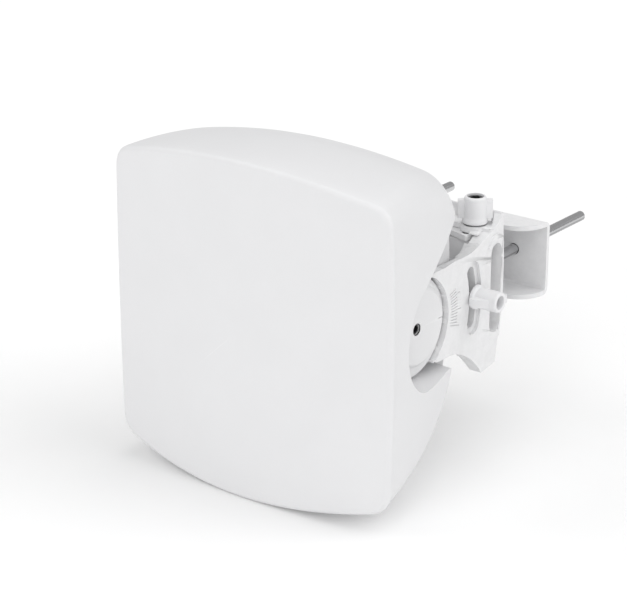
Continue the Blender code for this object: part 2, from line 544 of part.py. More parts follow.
# ---------------------------------------------------------------- yoke: two side arms joined by a deck and a web
arm_out = arc(TILT_Y, TILT_Z, ARM_ARC_R, 66.0, -58.0, 24)
arm_out = [(84.0, 37.6)] + arm_out[1:]
arm_out += [(92.0, -32.4), (101.0, -32.6), (112.8, -33.4), (123.0, -37.0), (134.4, -43.8), (142.2, -50.8), (151.2, -60.4), (169.2, -57.4),
            (172.8, -34.7), (175.9, -3.0), (175.8, 23.7), (174.6, 45.0), (173.4, 58.2), (167.1, 52.3), (156.2, 45.6), (141.6, 40.6),
            (128.0, 38.0), (110.8, 38.0), (98.4, 37.4)]
yoke = flat("yoke", arm_out, 'X', ARM_IN, ARM_OUT, M_CAST, bevel=0.0)


def arm_parts(sign, tag, base):
    lo = lambda a, b: (min(sign * a, sign * b), max(sign * a, sign * b))
    adds, cuts = [], []
    x0, x1 = lo(ARM_IN, 90.6)
    adds.append(rod("cut_hub_" + tag, 'X', x0, x1, (TILT_Y, TILT_Z), HUB_R, cut=True, seg=36))
    x0, x1 = lo(ARM_IN + 0.4, 90.2)
    adds.append(flat("cut_hub_neck_" + tag, [(78.0, -25.0), (110.0, -25.0), (110.0, 26.0), (78.0, 26.0)], 'X', x0, x1, cut=True))
    # wide top ramp that carries the swing lock
    x0, x1 = lo(82.0, 91.0)
    lip = [(97.0, 34.0), (98.4, 37.0), (110.8, 37.6), (128.0, 37.7), (141.0, 40.0), (141.0, 36.7), (128.0, 34.5), (110.8, 34.2)]
    adds.append(flat("cut_lip_" + tag, lip, 'X', x0, x1, cut=True))
    x0, x1 = lo(ARM_IN - 2, 93.0)
    s = 3.2
    # slots
    x0, x1 = lo(80.0, 100.0)
    cuts.append(flat("cut_tilt_slot_" + tag, arc_slot(TILT_Y, TILT_Z, SLOT_R, SLOT_LO, SLOT_HI, 4.2), 'X', x0, x1, cut=True))
    x0, x1 = lo(94.8, 100.0)
    cuts.append(flat("cut_tilt_slot_recess_" + tag, arc_slot(TILT_Y, TILT_Z, SLOT_R, SLOT_LO - 1, SLOT_HI + 1, 7.8), 'X', x0, x1, cut=True))
    x0, x1 = lo(80.0, 100.0)
    cuts.append(flat("cut_relief_slot_" + tag, racetrack(165.6, 0.0, -32.3, 36.3, 6.8), 'X', x0, x1, cut=True))
    cuts.append(rod("cut_hub_bore_" + tag, 'X', x0, x1, (TILT_Y, TILT_Z), 9.4, cut=True, seg=24))
    return adds, cuts


left_arm = flat("cut_left_arm", arm_out, 'X', -ARM_OUT, -ARM_IN, cut=True)
carve(yoke, left_arm, op='UNION')
# deck over the swing plate, with bosses for the lock bolts, and the web below it
DECK_Z0, DECK_Z1 = 44.6, 48.4
deck = flat("cut_deck", [(-96.4, 157.0), (96.4, 157.0), (96.4, 174.0), (-96.4, 174.0)], 'Z', DECK_Z0, DECK_Z1, cut=True)
back_rail = flat("cut_back_rail", [(172.0, 45.6), (174.4, 45.6), (173.0, 57.7), (171.9, 57.7), (171.8, 47.4)], 'X', -96.0, 96.0, cut=True)
web = box("cut_yoke_web", -ARM_IN - 0.5, ARM_IN + 0.5, 150.2, 154.2, -5.0, 36.6, cut=True)
rail = box("cut_yoke_web_rail", -ARM_IN - 0.5, ARM_IN + 0.5, 150.2, 156.0, 36.0, 39.5, cut=True)
carve(yoke, deck, back_rail, web, op='UNION')
for sign, tag in ((1, "r"), (-1, "l")):
    adds, cuts = arm_parts(sign, tag, yoke)
    carve(yoke, *adds, op='UNION')
    lx = sign * LOCK_X
    carve(yoke, rod("cut_lock_boss_" + tag, 'Z', DECK_Z0 + 0.07, 48.9, (lx, LOCK_Y), 10.4, cut=True, seg=24), op='UNION')
    carve(yoke, *cuts)
    carve(yoke, rod("cut_lock_hole_" + tag, 'Z', 30.0, 70.0, (lx, LOCK_Y), 3.4, cut=True, seg=18))
    carve(yoke, rod("cut_knob_room_" + tag, 'Z', 49.0, 70.0, (lx, LOCK_Y), 13.4, cut=True, seg=26))
carve(yoke, rod("cut_deck_pin_boss", 'Z', DECK_Z0 + 0.11, 52.4, (0.0, SWING_Y), 9.5, cut=True, seg=24), op='UNION')
carve(yoke, rod("cut_deck_pin_hole", 'Z', 30.0, 70.0, (0.0, SWING_Y), 4.4, cut=True, seg=20))
carve(yoke, rod("cut_pin_head_room", 'Z', 52.5, 70.0, (0.0, SWING_Y), 7.4, cut=True, seg=20))

# ---------------------------------------------------------------- swing lock knobs and swing pin
LK0 = 50.0
swing = turned("swing_knob_r", [(6.2, LK0 + 20.0), (7.4, LK0 + 20.0), (8.2, LK0 + 19.2), (8.3, LK0 + 2.6), (9.2, LK0 + 2.0), (9.4, LK0), (3.3, LK0), (3.3, LK0 + 8.0),
                                (6.2, LK0 + 10.0), (6.2, LK0 + 20.0)], 'Z', (LOCK_X, LOCK_Y), M_KNOB, steps=20)
ux, uy = 0.794, 0.608


def wing_loop(d0, d1, t):
    return [(LOCK_X + ux * d + uy * s * t, LOCK_Y + uy * d - ux * s * t) for d, s in ((d0, -1), (d1, -1), (d1, 1), (d0, 1))]


carve(swing, flat("cut_swing_wing_a", wing_loop(-12.6, -6.9, 2.4), 'Z', LK0 + 3.6, LK0 + 17.4, cut=True, bevel=0.9),
      flat("cut_swing_wing_b", wing_loop(6.9, 12.6, 2.4), 'Z', LK0 + 3.6, LK0 + 17.4, cut=True, bevel=0.9), op='UNION')
bolt = turned("swing_bolt_r", [(0, LK0 + 11.6), (3.0, LK0 + 11.6), (3.2, LK0 + 18.8), (5.2, LK0 + 18.8), (5.9, LK0 + 18.1), (5.9, LK0 + 10.4), (3.0, LK0 + 9.0), (3.0, 32.5), (2.5, 32.0), (0, 32.0)],
              'Z', (LOCK_X, LOCK_Y), M_DARK, steps=14)
washer = turned("swing_washer_r", [(3.3, LK0 - 0.3), (8.8, LK0 - 0.3), (8.8, 49.2), (3.3, 49.2), (3.3, LK0 - 0.3)], 'Z', (LOCK_X, LOCK_Y), M_DARK, steps=20)
lock_nut = rod("swing_nut_r", 'Z', 34.9, 39.7, (LOCK_X, LOCK_Y), 5.77, M_STEEL, seg=6)
carve(lock_nut, rod("cut_swing_nut", 'Z', 30, 50, (LOCK_X, LOCK_Y), 3.25, cut=True, seg=18))
for piece, nm in ((swing, "swing_knob_l"), (bolt, "swing_bolt_l"), (washer, "swing_washer_l"), (lock_nut, "swing_nut_l")):
    mirrored(piece, nm)
pin = turned("swing_pin", [(0, 56.4), (5.6, 56.4), (6.6, 55.6), (6.6, 52.9), (4.1, 52.9), (4.1, 35.0), (3.6, 34.4), (0, 34.4)], 'Z', (0.0, SWING_Y), M_STEEL, steps=16)

# ---------------------------------------------------------------- pole bracket: swing plate, web, lower jaw
PLATE_Z0, PLATE_Z1 = 40.2, 44.2
fan = [(x + 0.0, y + 0.0) for x, y in arc(0.0, SWING_Y, 85.2, -14.7, 11, 12)]
V_A, V_B = 28.5, 12.0
plate_out = fan + [(70.0, 196.0), (70.0, 206.0), (V_A, 206.0), (V_B, 186.5), (-V_B, 186.5), (-V_A, 206.0), (-70.0, 206.0), (-70.0, 196.0)]
plate_out += [(-x, y) for x, y in reversed(fan)] + [(-40.0, 158.0), (40.0, 158.0)]
bracket = flat("pole_bracket", plate_out, 'Z', PLATE_Z0, PLATE_Z1, M_CAST,
               holes=[arc_slot(0.0, SWING_Y, LOCK_R, -4.3 - SWING_MAX - 0.3, -4.3 + SWING_MAX + 0.3, 3.4, 8, 5),
                      [(-x, y) for x, y in arc_slot(0.0, SWING_Y, LOCK_R, -4.3 - SWING_MAX - 0.3, -4.3 + SWING_MAX + 0.3, 3.4, 8, 5)],
                      arc(0.0, SWING_Y, 4.4, 0, 345, 23)])
low = flat("cut_lower_jaw", [(70.0, 182.0), (70.0, 206.0), (V_A, 206.0), (V_B, 186.5), (-V_B, 186.5), (-V_A, 206.0), (-70.0, 206.0), (-70.0, 182.0)],
           'Z', -26.0, -22.0, cut=True)
bweb = box("cut_bracket_web", -69.6, 69.6, 182.4, 186.0, -25.2, PLATE_Z0 + 2.0, cut=True)
g1 = box("cut_gusset_r", 67.0, 69.3, 184.0, 205.4, -24.6, PLATE_Z0 + 1.0, cut=True)
g2 = box("cut_gusset_l", -69.3, -67.0, 184.0, 205.4, -24.6, PLATE_Z0 + 1.0, cut=True)
carve(bracket, bweb, low, g1, g2, op='UNION')
for sx, tag in ((1, "r"), (-1, "l")):
    carve(bracket, rod("cut_bracket_rod_" + tag, 'Y', 170.0, 192.0, (sx * ROD_X, ROD_Z), 4.3, cut=True, seg=20))

# ---------------------------------------------------------------- rods, nuts, rear clamp
rod_r = turned("clamp_rod_r", [(0, ROD_END), (3.3, ROD_END), (ROD_R, ROD_END - 0.8), (ROD_R, 176.8), (3.4, 176.0), (0, 176.0)], 'Y', (ROD_X, ROD_Z), M_STEEL, steps=16)
rod_nut = rod("rod_nut_r", 'Y', 177.4, 181.7, (ROD_X, ROD_Z), 7.51, M_STEEL, seg=6)
carve(rod_nut, rod("cut_rod_nut", 'Y', 170, 190, (ROD_X, ROD_Z), ROD_R + 0.3, cut=True, seg=20))
corner = arc(76.4, 229.6, 11.8, -6, -90, 8)          # rounded front corner, from the side to the front edge
half = [(88.2, WEB_Y0 + 0.5), (88.2, 230.0)] + corner + [(69.0, 219.0), (40.0, 218.2), (V_A, 218.2), (V_B, 237.6)]
flange = half + [(-x, y) for x, y in reversed(half)]
clamp = box("rear_clamp", -CLAMP_X, CLAMP_X, WEB_Y0, WEB_Y1, CLAMP_Z0, CLAMP_Z1, M_SHEET)
carve(clamp, flat("cut_flange_top", flange, 'Z', CLAMP_Z1 - SHEET, CLAMP_Z1 - 0.01, cut=True),
      flat("cut_flange_bottom", flange, 'Z', CLAMP_Z0 + 0.01, CLAMP_Z0 + SHEET, cut=True), op='UNION')
for sx, tag in ((1, "r"), (-1, "l")):
    carve(clamp, rod("cut_clamp_hole_" + tag, 'Y', 230.0, 260.0, (sx * ROD_X, ROD_Z), 4.4, cut=True, seg=20))
cw = turned("clamp_washer_r", [(4.4, 250.5), (8.6, 250.5), (8.6, WEB_Y1 + GAP), (4.4, WEB_Y1 + GAP), (4.4, 250.5)], 'Y', (ROD_X, ROD_Z), M_STEEL, steps=16)
cn = rod("clamp_nut_r", 'Y', 250.8, 257.6, (ROD_X, ROD_Z), 7.51, M_STEEL, seg=6)
carve(cn, rod("cut_clamp_nut", 'Y', 240, 270, (ROD_X, ROD_Z), ROD_R + 0.3, cut=True, seg=20))
for piece, nm in ((rod_r, "clamp_rod_l"), (rod_nut, "rod_nut_l"), (cw, "clamp_washer_l"), (cn, "clamp_nut_l")):
    mirrored(piece, nm)

# ---------------------------------------------------------------- joint axes
named = bpy.data.objects
axis_empty("axis_tilt", 0, TILT_Y, TILT_Z, [named["radome_shell"], named["rear_cover"]])
axis_empty("axis_swing", 0, SWING_Y, 46, [named["yoke"]])
axis_empty("axis_door", 0, HINGE_Y, HINGE_Z, [named["port_door"]])
axis_empty("axis_button", 32, 90, -35, [named["reset_button"]])
axis_empty("axis_clamp_slide", 0, WEB_Y1, ROD_Z, [named["rear_clamp"]])
for sx, tag in ((1, "r"), (-1, "l")):
    axis_empty("axis_tilt_knob_" + tag, sx * 100, 139.0, KNOB_Z, [named["tilt_knob_" + tag], named["tilt_stud_" + tag]])
    axis_empty("axis_swing_knob_" + tag, sx * LOCK_X, LOCK_Y, LK0, [named["swing_knob_" + tag], named["swing_bolt_" + tag]])
    axis_empty("axis_clamp_nut_" + tag, sx * ROD_X, 254.0, ROD_Z, [named["clamp_nut_" + tag]])
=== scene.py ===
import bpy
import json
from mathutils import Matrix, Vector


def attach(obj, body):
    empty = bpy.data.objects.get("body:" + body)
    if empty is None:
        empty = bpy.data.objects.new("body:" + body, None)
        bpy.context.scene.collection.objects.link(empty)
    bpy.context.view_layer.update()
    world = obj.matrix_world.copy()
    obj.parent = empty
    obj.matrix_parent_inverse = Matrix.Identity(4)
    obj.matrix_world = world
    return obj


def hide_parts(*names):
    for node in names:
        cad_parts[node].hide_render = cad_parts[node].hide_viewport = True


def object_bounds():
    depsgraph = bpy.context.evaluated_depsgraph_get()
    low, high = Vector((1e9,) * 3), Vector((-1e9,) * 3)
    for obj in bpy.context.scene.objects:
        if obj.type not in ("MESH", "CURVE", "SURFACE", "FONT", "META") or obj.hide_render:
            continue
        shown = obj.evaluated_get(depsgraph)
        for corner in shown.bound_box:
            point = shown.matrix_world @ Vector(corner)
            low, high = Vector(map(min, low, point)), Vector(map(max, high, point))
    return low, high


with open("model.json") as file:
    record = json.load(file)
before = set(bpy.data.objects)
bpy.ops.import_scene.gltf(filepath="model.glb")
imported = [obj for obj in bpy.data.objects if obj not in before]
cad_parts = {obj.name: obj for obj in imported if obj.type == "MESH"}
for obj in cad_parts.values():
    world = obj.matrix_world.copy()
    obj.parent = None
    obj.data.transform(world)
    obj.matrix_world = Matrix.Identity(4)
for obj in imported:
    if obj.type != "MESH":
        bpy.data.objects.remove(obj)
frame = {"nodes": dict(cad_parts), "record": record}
CAD_BOX = [list(v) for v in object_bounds()]

import json
import math

import bmesh
import bpy
from mathutils import Matrix, Vector

MM = 0.001
POLE_Y = 212.0
scene = bpy.context.scene
N = frame["nodes"]

# ------------------------------------------------------------------ dimensions shared with the CAD part
HALF_W, HALF_H, ARCH, BOW, BULGE = 121.0, 108.6, 16.85, 1.3, 14.4
DEPTH, REAR_END, SPLIT_Y, WALL = 127.6, 127.2, 112.0, 2.8
CORNER_R, EDGE_R, REAR_R = 17.0, 3.5, 9.1
TILT_Y, TILT_Z = 66.8, 0.5
FLOOR_X, POCKET_R, RAMP = 81.7, 40.5, 3.0
KNOB_Y, KNOB_Z = 139.0, 3.3
SLOT_R, SLOT_LO, SLOT_HI = 72.2, -13.4, 17.4
ARM_IN, ARM_OUT = 86.0, 97.0
SWING_Y, LOCK_X, LOCK_Y, LK0 = 168.0, 80.0, 162.0, 50.0
DECK_Z0, DECK_Z1 = 44.6, 48.4
ROD_X, ROD_Z, ROD_R, ROD_END = 62.2, 2.0, 4.0, 343.9
WEB_Y0, WEB_Y1 = 245.0, 248.5
CLAMP_X, CLAMP_Z0, CLAMP_Z1, SHEET = 91.0, -28.5, 29.6, 3.5
V_A, V_B = 28.5, 12.0
GAP = 0.15
BOSS = [(60.0, 74.0, 1), (-60.0, 74.0, 1), (60.0, -46.0, -1), (-60.0, -46.0, -1)]


# ------------------------------------------------------------------ materials
def node(nt, kind, **inputs):
    n = nt.nodes.new(kind)
    for k, v in inputs.items():
        n.inputs[k.replace("_", " ")].default_value = v
    return n


def ramp(nt, fac, stops):
    r = nt.nodes.new("ShaderNodeValToRGB")
    cr = r.color_ramp
    while len(cr.elements) > 1:
        cr.elements.remove(cr.elements[-1])
    cr.elements[0].position, cr.elements[0].color = stops[0][0], (*[stops[0][1]] * 3, 1)
    for p, c in stops[1:]:
        e = cr.elements.new(p)
        e.color = (c, c, c, 1)
    nt.links.new(fac, r.inputs["Fac"])
    return r.outputs["Color"]


def mixc(nt, fac, a, b, mode='MIX'):
    m = nt.nodes.new("ShaderNodeMix")
    m.data_type = 'RGBA'
    m.blend_type = mode
    for sock, v in ((m.inputs[0], fac), (m.inputs[6], a), (m.inputs[7], b)):
        if isinstance(v, (int, float)):
            sock.default_value = v
        elif isinstance(v, tuple):
            sock.default_value = (*v, 1.0)
        else:
            nt.links.new(v, sock)
    return m.outputs[2]


def coords(nt, scale=(1, 1, 1)):
    tc = nt.nodes.new("ShaderNodeTexCoord")
    mp = nt.nodes.new("ShaderNodeMapping")
    mp.inputs["Scale"].default_value = scale
    nt.links.new(tc.outputs["Object"], mp.inputs["Vector"])
    return mp.outputs["Vector"]


def noise_tex(nt, vec, scale, detail=4.0, rough=0.55):
    n = node(nt, "ShaderNodeTexNoise", Scale=scale, Detail=detail, Roughness=rough)
    nt.links.new(vec, n.inputs["Vector"])
    return n.outputs["Fac"]


def finish(name, base, rough, metal=0.0, grain=1400.0, bump=0.10, depth=0.00006, vary=0.03, swing=0.07, wear=0.05, wear_col=None,
           streak=None, thread=None, spec=None, coat=0.0, sub=0.0, trans=0.0, reflection_bands=None, glow=0.0):
    """A node-built finish: broad and fine colour drift, grain bump, roughness drift and lighter edges."""
    m = bpy.data.materials.new(name)
    m.use_nodes = True
    nt = m.node_tree
    b = nt.nodes["Principled BSDF"]
    b.inputs["Metallic"].default_value = metal
    if spec is not None:
        b.inputs["Specular IOR Level"].default_value = spec
    if coat:
        b.inputs["Coat Weight"].default_value = coat
    if sub:
        b.inputs["Subsurface Weight"].default_value = sub
        b.inputs["Subsurface Radius"].default_value = (0.002, 0.002, 0.002)
    if trans:
        b.inputs["Transmission Weight"].default_value = trans
    v = coords(nt)
    vs = coords(nt, streak) if streak else v
    dark = tuple(c * (1 - vary) for c in base)
    light = tuple(min(c * (1 + vary), 1.0) for c in base)
    broad = ramp(nt, noise_tex(nt, v, 22.0, 5.0), [(0.32, 0.0), (0.68, 1.0)])
    fine = ramp(nt, noise_tex(nt, vs, grain * 0.45, 3.0), [(0.3, 0.0), (0.7, 1.0)])
    col = mixc(nt, broad, dark, light)
    col = mixc(nt, fine, col, mixc(nt, 0.5, col, tuple(c * (1 - vary * 1.3) for c in base)))
    geo = nt.nodes.new("ShaderNodeNewGeometry")
    edge = ramp(nt, geo.outputs["Pointiness"], [(0.53, 0.0), (0.62, 1.0)])
    brk = ramp(nt, noise_tex(nt, v, 140.0, 6.0, 0.7), [(0.40, 0.25), (0.62, 1.0)])
    edge = mixc(nt, 1.0, edge, brk, 'MULTIPLY')
    wc = wear_col or tuple(min(c * (1 + wear), 1.0) for c in base)
    col = mixc(nt, edge, col, wc)
    # painted reflection: lengthwise light and dark bands multiplied into the base colour stand in for the surroundings
    # mirrored in bright metal
    if reflection_bands:
        band_coords = coords(nt, reflection_bands[1])
        col = mixc(nt, 1.0, col, ramp(nt, noise_tex(nt, band_coords, reflection_bands[0], 3.0, 0.6), reflection_bands[2]), 'MULTIPLY')
    nt.links.new(col, b.inputs["Base Color"])
    if glow:
        b.inputs["Emission Color"].default_value = (1.0, 1.0, 1.0, 1.0)
        b.inputs["Emission Strength"].default_value = glow
    mr = node(nt, "ShaderNodeMapRange")
    mr.inputs["To Min"].default_value = max(rough - swing, 0.03)
    mr.inputs["To Max"].default_value = min(rough + swing, 1.0)
    nt.links.new(noise_tex(nt, vs, grain * 0.06, 5.0), mr.inputs["Value"])
    nt.links.new(mr.outputs["Result"], b.inputs["Roughness"])
    height = noise_tex(nt, vs, grain, 2.0)
    bp = node(nt, "ShaderNodeBump", Strength=bump, Distance=depth)
    nt.links.new(height, bp.inputs["Height"])
    last = bp
    if thread:
        w = nt.nodes.new("ShaderNodeTexWave")
        w.wave_type = 'BANDS'
        w.bands_direction = 'Y'
        w.wave_profile = 'TRI'
        w.inputs["Scale"].default_value = thread[0]
        nt.links.new(v, w.inputs["Vector"])
        b2 = node(nt, "ShaderNodeBump", Strength=thread[1], Distance=0.0004)
        nt.links.new(w.outputs["Fac"], b2.inputs["Height"])
        nt.links.new(bp.outputs["Normal"], b2.inputs["Normal"])
        last = b2
    nt.links.new(last.outputs["Normal"], b.inputs["Normal"])
    return m


WHITE = 0.745
M = {
    "shell_white": finish("shell_white_matt", (WHITE, WHITE, WHITE * 1.012), 0.46, grain=1500, bump=0.10, vary=0.012, wear=0.05, spec=0.42),
    "cap_white": finish("cap_white_matt", (WHITE, WHITE, WHITE * 1.01), 0.50, grain=1700, bump=0.09, vary=0.014, wear=0.06, spec=0.4),
    "cast_white": finish("cast_white_coat", (WHITE, WHITE, WHITE * 1.008), 0.52, grain=900, bump=0.20, depth=0.00010, vary=0.018, wear=0.07, spec=0.4),
    "sheet_white": finish("sheet_white_coat", (WHITE, WHITE, WHITE * 1.01), 0.44, grain=1100, bump=0.14, depth=0.00008, vary=0.016, wear=0.06, spec=0.45),
    "knob_white": finish("knob_white_matt", (0.77, 0.77, 0.78), 0.45, grain=1600, bump=0.08, vary=0.014, wear=0.05, spec=0.45),
    "steel": finish("steel_zinc", (0.60, 0.60, 0.61), 0.24, 1.0, grain=900, bump=0.10, vary=0.08, swing=0.07, wear_col=(0.72, 0.72, 0.73)),
    # the rod steel carries painted reflection bands along its length, on top of its drawn grain
    "rod_steel": finish("rod_steel_drawn_reflection_bands", (0.60, 0.60, 0.61), 0.22, 1.0, grain=700, bump=0.12, vary=0.10, swing=0.08, wear_col=(0.72, 0.72, 0.73),
                        streak=(1.0, 0.03, 1.0), thread=(125.0, 0.12), reflection_bands=(310.0, (1.0, 0.004, 1.0), [(0.34, 0.42), (0.44, 0.80), (0.54, 1.0), (0.70, 0.92)])),
    "screw_black": finish("screw_black_oxide", (0.018, 0.018, 0.019), 0.55, 0.0, grain=900, bump=0.15, vary=0.2, wear_col=(0.10, 0.10, 0.10), spec=0.2),
    "dark_steel": finish("steel_dark_oxide", (0.10, 0.10, 0.105), 0.40, 1.0, grain=900, bump=0.12, vary=0.15, wear_col=(0.30, 0.30, 0.31)),
    "rubber": finish("rubber_black", (0.028, 0.028, 0.03), 0.78, grain=1300, bump=0.25, vary=0.15, wear=0.3),
    "aluminium": finish("aluminium_milled", (0.66, 0.67, 0.68), 0.34, 1.0, grain=800, bump=0.12, vary=0.06, streak=(0.05, 1.0, 1.0), wear_col=(0.78, 0.78, 0.79)),
    "board": finish("board_mask_green", (0.035, 0.15, 0.07), 0.36, grain=1200, bump=0.12, vary=0.12, wear_col=(0.25, 0.30, 0.18), coat=0.3),
    "ceramic": finish("ceramic_fired", (0.62, 0.55, 0.42), 0.55, grain=1500, bump=0.2, vary=0.07, wear=0.08),
    "grey_plastic": finish("grey_moulded", (0.30, 0.31, 0.32), 0.52, grain=1500, bump=0.18, vary=0.06, wear=0.15),
    "light_pipe": finish("pipe_frosted", (0.85, 0.87, 0.88), 0.30, grain=1400, bump=0.1, vary=0.03, trans=0.5),
}

for sp in frame["record"]["subparts"]:
    ob = N[sp["node"]]
    m = M["screw_black" if sp["node"].startswith("pivot_screw") else sp["material_slot"]]
    ob.data.materials.clear()
    ob.data.materials.append(m)
    ob.data.shade_smooth()
    ob.data.set_sharp_from_angle(angle=math.radians(32))


# ------------------------------------------------------------------ mesh helpers (millimetres in the fit frame, metres in the scene)
JUNK = []


def place(ob, mat=None):
    scene.collection.objects.link(ob)
    JUNK.append(ob)
    if mat is not None:
        ob.data.materials.clear()
        ob.data.materials.append(mat)
    return ob


def from_bm(name, bm, mat=None, smooth=30.0, recalc=True):
    if recalc:
        bmesh.ops.recalc_face_normals(bm, faces=bm.faces[:])
    me = bpy.data.meshes.new(name)
    bm.to_mesh(me)
    bm.free()
    if smooth:
        me.shade_smooth()
        me.set_sharp_from_angle(angle=math.radians(smooth))
    return place(bpy.data.objects.new(name, me), mat)


def settle(ob, mat=None, smooth=30.0):
    bpy.context.view_layer.update()
    dg = bpy.context.evaluated_depsgraph_get()
    me = bpy.data.meshes.new_from_object(ob.evaluated_get(dg))
    world = ob.matrix_world.copy()
    name = ob.name
    bpy.data.objects.remove(ob, do_unlink=True)
    bm = bmesh.new()
    bm.from_mesh(me)
    bmesh.ops.transform(bm, matrix=world, verts=bm.verts[:])
    bmesh.ops.remove_doubles(bm, verts=bm.verts[:], dist=1e-6)
    bpy.data.meshes.remove(me)
    return from_bm(name, bm, mat, smooth)


def axes_matrix(axis):
    if axis == 'X':
        return Matrix(((0, 0, 1, 0), (1, 0, 0, -POLE_Y * MM), (0, 1, 0, 0), (0, 0, 0, 1)))
    if axis == 'Y':
        return Matrix(((1, 0, 0, 0), (0, 0, -1, -POLE_Y * MM), (0, 1, 0, 0), (0, 0, 0, 1)))
    return Matrix(((1, 0, 0, 0), (0, 1, 0, -POLE_Y * MM), (0, 0, 1, 0), (0, 0, 0, 1)))


def flat(name, outline, axis, lo, hi, mat=None, holes=()):
    cu = bpy.data.curves.new(name, 'CURVE')
    cu.dimensions = '2D'
    cu.fill_mode = 'BOTH'
    cu.extrude = (hi - lo) / 2 * MM
    for loop in (outline, *holes):
        sp = cu.splines.new('POLY')
        sp.points.add(len(loop) - 1)
        for p, (a, b) in zip(sp.points, loop):
            p.co = (a * MM, b * MM, 0.0, 1.0)
        sp.use_cyclic_u = True
    ob = bpy.data.objects.new(name, cu)
    scene.collection.objects.link(ob)
    mid = (lo + hi) / 2 * MM * (-1 if axis == 'Y' else 1)
    ob.matrix_world = axes_matrix(axis) @ Matrix.Translation((0, 0, mid))
    return settle(ob, mat)


def box(name, x0, x1, y0, y1, z0, z1, mat=None):
    bm = bmesh.new()
    bmesh.ops.create_cube(bm, size=1.0)
    bmesh.ops.scale(bm, vec=((x1 - x0) * MM, (y1 - y0) * MM, (z1 - z0) * MM), verts=bm.verts[:])
    bmesh.ops.translate(bm, vec=((x0 + x1) / 2 * MM, ((y0 + y1) / 2 - POLE_Y) * MM, (z0 + z1) / 2 * MM), verts=bm.verts[:])
    return from_bm(name, bm, mat, 0)


def axis_at(axis, c, mid=0.0):
    if axis == 'X':
        return Matrix.Translation((mid * MM, (c[0] - POLE_Y) * MM, c[1] * MM)) @ Matrix.Rotation(math.pi / 2, 4, 'Y')
    if axis == 'Y':
        return Matrix.Translation((c[0] * MM, (mid - POLE_Y) * MM, c[1] * MM)) @ Matrix.Rotation(-math.pi / 2, 4, 'X')
    return Matrix.Translation((c[0] * MM, (c[1] - POLE_Y) * MM, mid * MM))


def rod(name, axis, lo, hi, c, r, mat=None, seg=48, r2=None, turn=0.0):
    bm = bmesh.new()
    bmesh.ops.create_cone(bm, cap_ends=True, segments=seg, radius1=r * MM, radius2=(r if r2 is None else r2) * MM, depth=(hi - lo) * MM)
    bmesh.ops.transform(bm, matrix=axis_at(axis, c, (lo + hi) / 2) @ Matrix.Rotation(turn, 4, 'Z'), verts=bm.verts[:])
    return from_bm(name, bm, mat)


def turned(name, profile, axis, c, mat=None, steps=64):
    """Turned shape from (radius, height) pairs. A closed profile ends on its first point."""
    closed = profile[0] == profile[-1]
    pts = profile[:-1] if closed else profile
    bm = bmesh.new()
    rows = []
    for r, h in pts:
        if r < 1e-6:
            rows.append([bm.verts.new((0, 0, h * MM))])
        else:
            rows.append([bm.verts.new((r * MM * math.cos(2 * math.pi * i / steps), r * MM * math.sin(2 * math.pi * i / steps), h * MM)) for i in range(steps)])
    pairs = list(zip(rows, rows[1:])) + ([(rows[-1], rows[0])] if closed else [])
    for a, b in pairs:
        for i in range(steps):
            j = (i + 1) % steps
            q = [a[i % len(a)], a[j % len(a)], b[j % len(b)], b[i % len(b)]]
            q = [v for k, v in enumerate(q) if v not in q[:k]]
            if len(q) > 2:
                bm.faces.new(q)
    bmesh.ops.transform(bm, matrix=axis_at(axis, c), verts=bm.verts[:])
    return from_bm(name, bm, mat)


def soft(profile, w=0.5, n=3):
    """Rounds the corners of an open or closed (radius, height) profile with small arcs."""
    closed = profile[0] == profile[-1]
    p = profile[:-1] if closed else profile
    out = []
    k = len(p)
    for i in range(k):
        if not closed and i in (0, k - 1):
            out.append(p[i])
            continue
        a, b, c = Vector(p[i - 1]), Vector(p[i]), Vector(p[(i + 1) % k])
        u, v = a - b, c - b
        d = min(w, u.length * 0.45, v.length * 0.45)
        if d < 0.02 or u.normalized().dot(v.normalized()) < -0.97:
            out.append(p[i])
            continue
        s, e = b + u.normalized() * d, b + v.normalized() * d
        for j in range(n + 1):
            t = j / n
            q = s * (1 - t) ** 2 + b * 2 * t * (1 - t) + e * t * t
            out.append((q.x, q.y))
    if closed:
        out.append(out[0])
    return out


def carve(ob, *others, op='DIFFERENCE'):
    for o in others:
        m = ob.modifiers.new(op.lower(), 'BOOLEAN')
        m.operation = op
        m.solver = 'EXACT'
        m.object = o
    return ob


TOP_Z = 0.12658


def bake(ob, name, body, mat, bevel=0.0, seg=3, angle=35.0, smooth=38.0, hides=(), after=()):
    """Applies the modifiers into a finished mesh that rides on a CAD body and stands for CAD nodes."""
    if bevel:
        b = ob.modifiers.new("edge", 'BEVEL')
        b.width = bevel * MM
        b.segments = seg
        b.limit_method = 'ANGLE'
        b.angle_limit = math.radians(angle)
        b.harden_normals = False
        b.use_clamp_overlap = True
    carve(ob, *after)
    bpy.context.view_layer.update()
    dg = bpy.context.evaluated_depsgraph_get()
    me = bpy.data.meshes.new_from_object(ob.evaluated_get(dg))
    for v in me.vertices:
        v.co.z = min(v.co.z, TOP_Z)
    me.materials.clear()
    me.materials.append(mat)
    me.polygons.foreach_set("material_index", [0] * len(me.polygons))
    me.shade_smooth()
    me.set_sharp_from_angle(angle=math.radians(smooth))
    out = bpy.data.objects.new(name, me)
    me.name = name
    scene.collection.objects.link(out)
    if bevel:
        w = out.modifiers.new("even", 'WEIGHTED_NORMAL')
        w.keep_sharp = True
        w.weight = 60
        bpy.context.view_layer.update()
        dg = bpy.context.evaluated_depsgraph_get()
        me2 = bpy.data.meshes.new_from_object(out.evaluated_get(dg))
        out.modifiers.clear()
        out.data = me2
        me2.name = name
    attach(out, body)
    if hides:
        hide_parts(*hides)
    return out


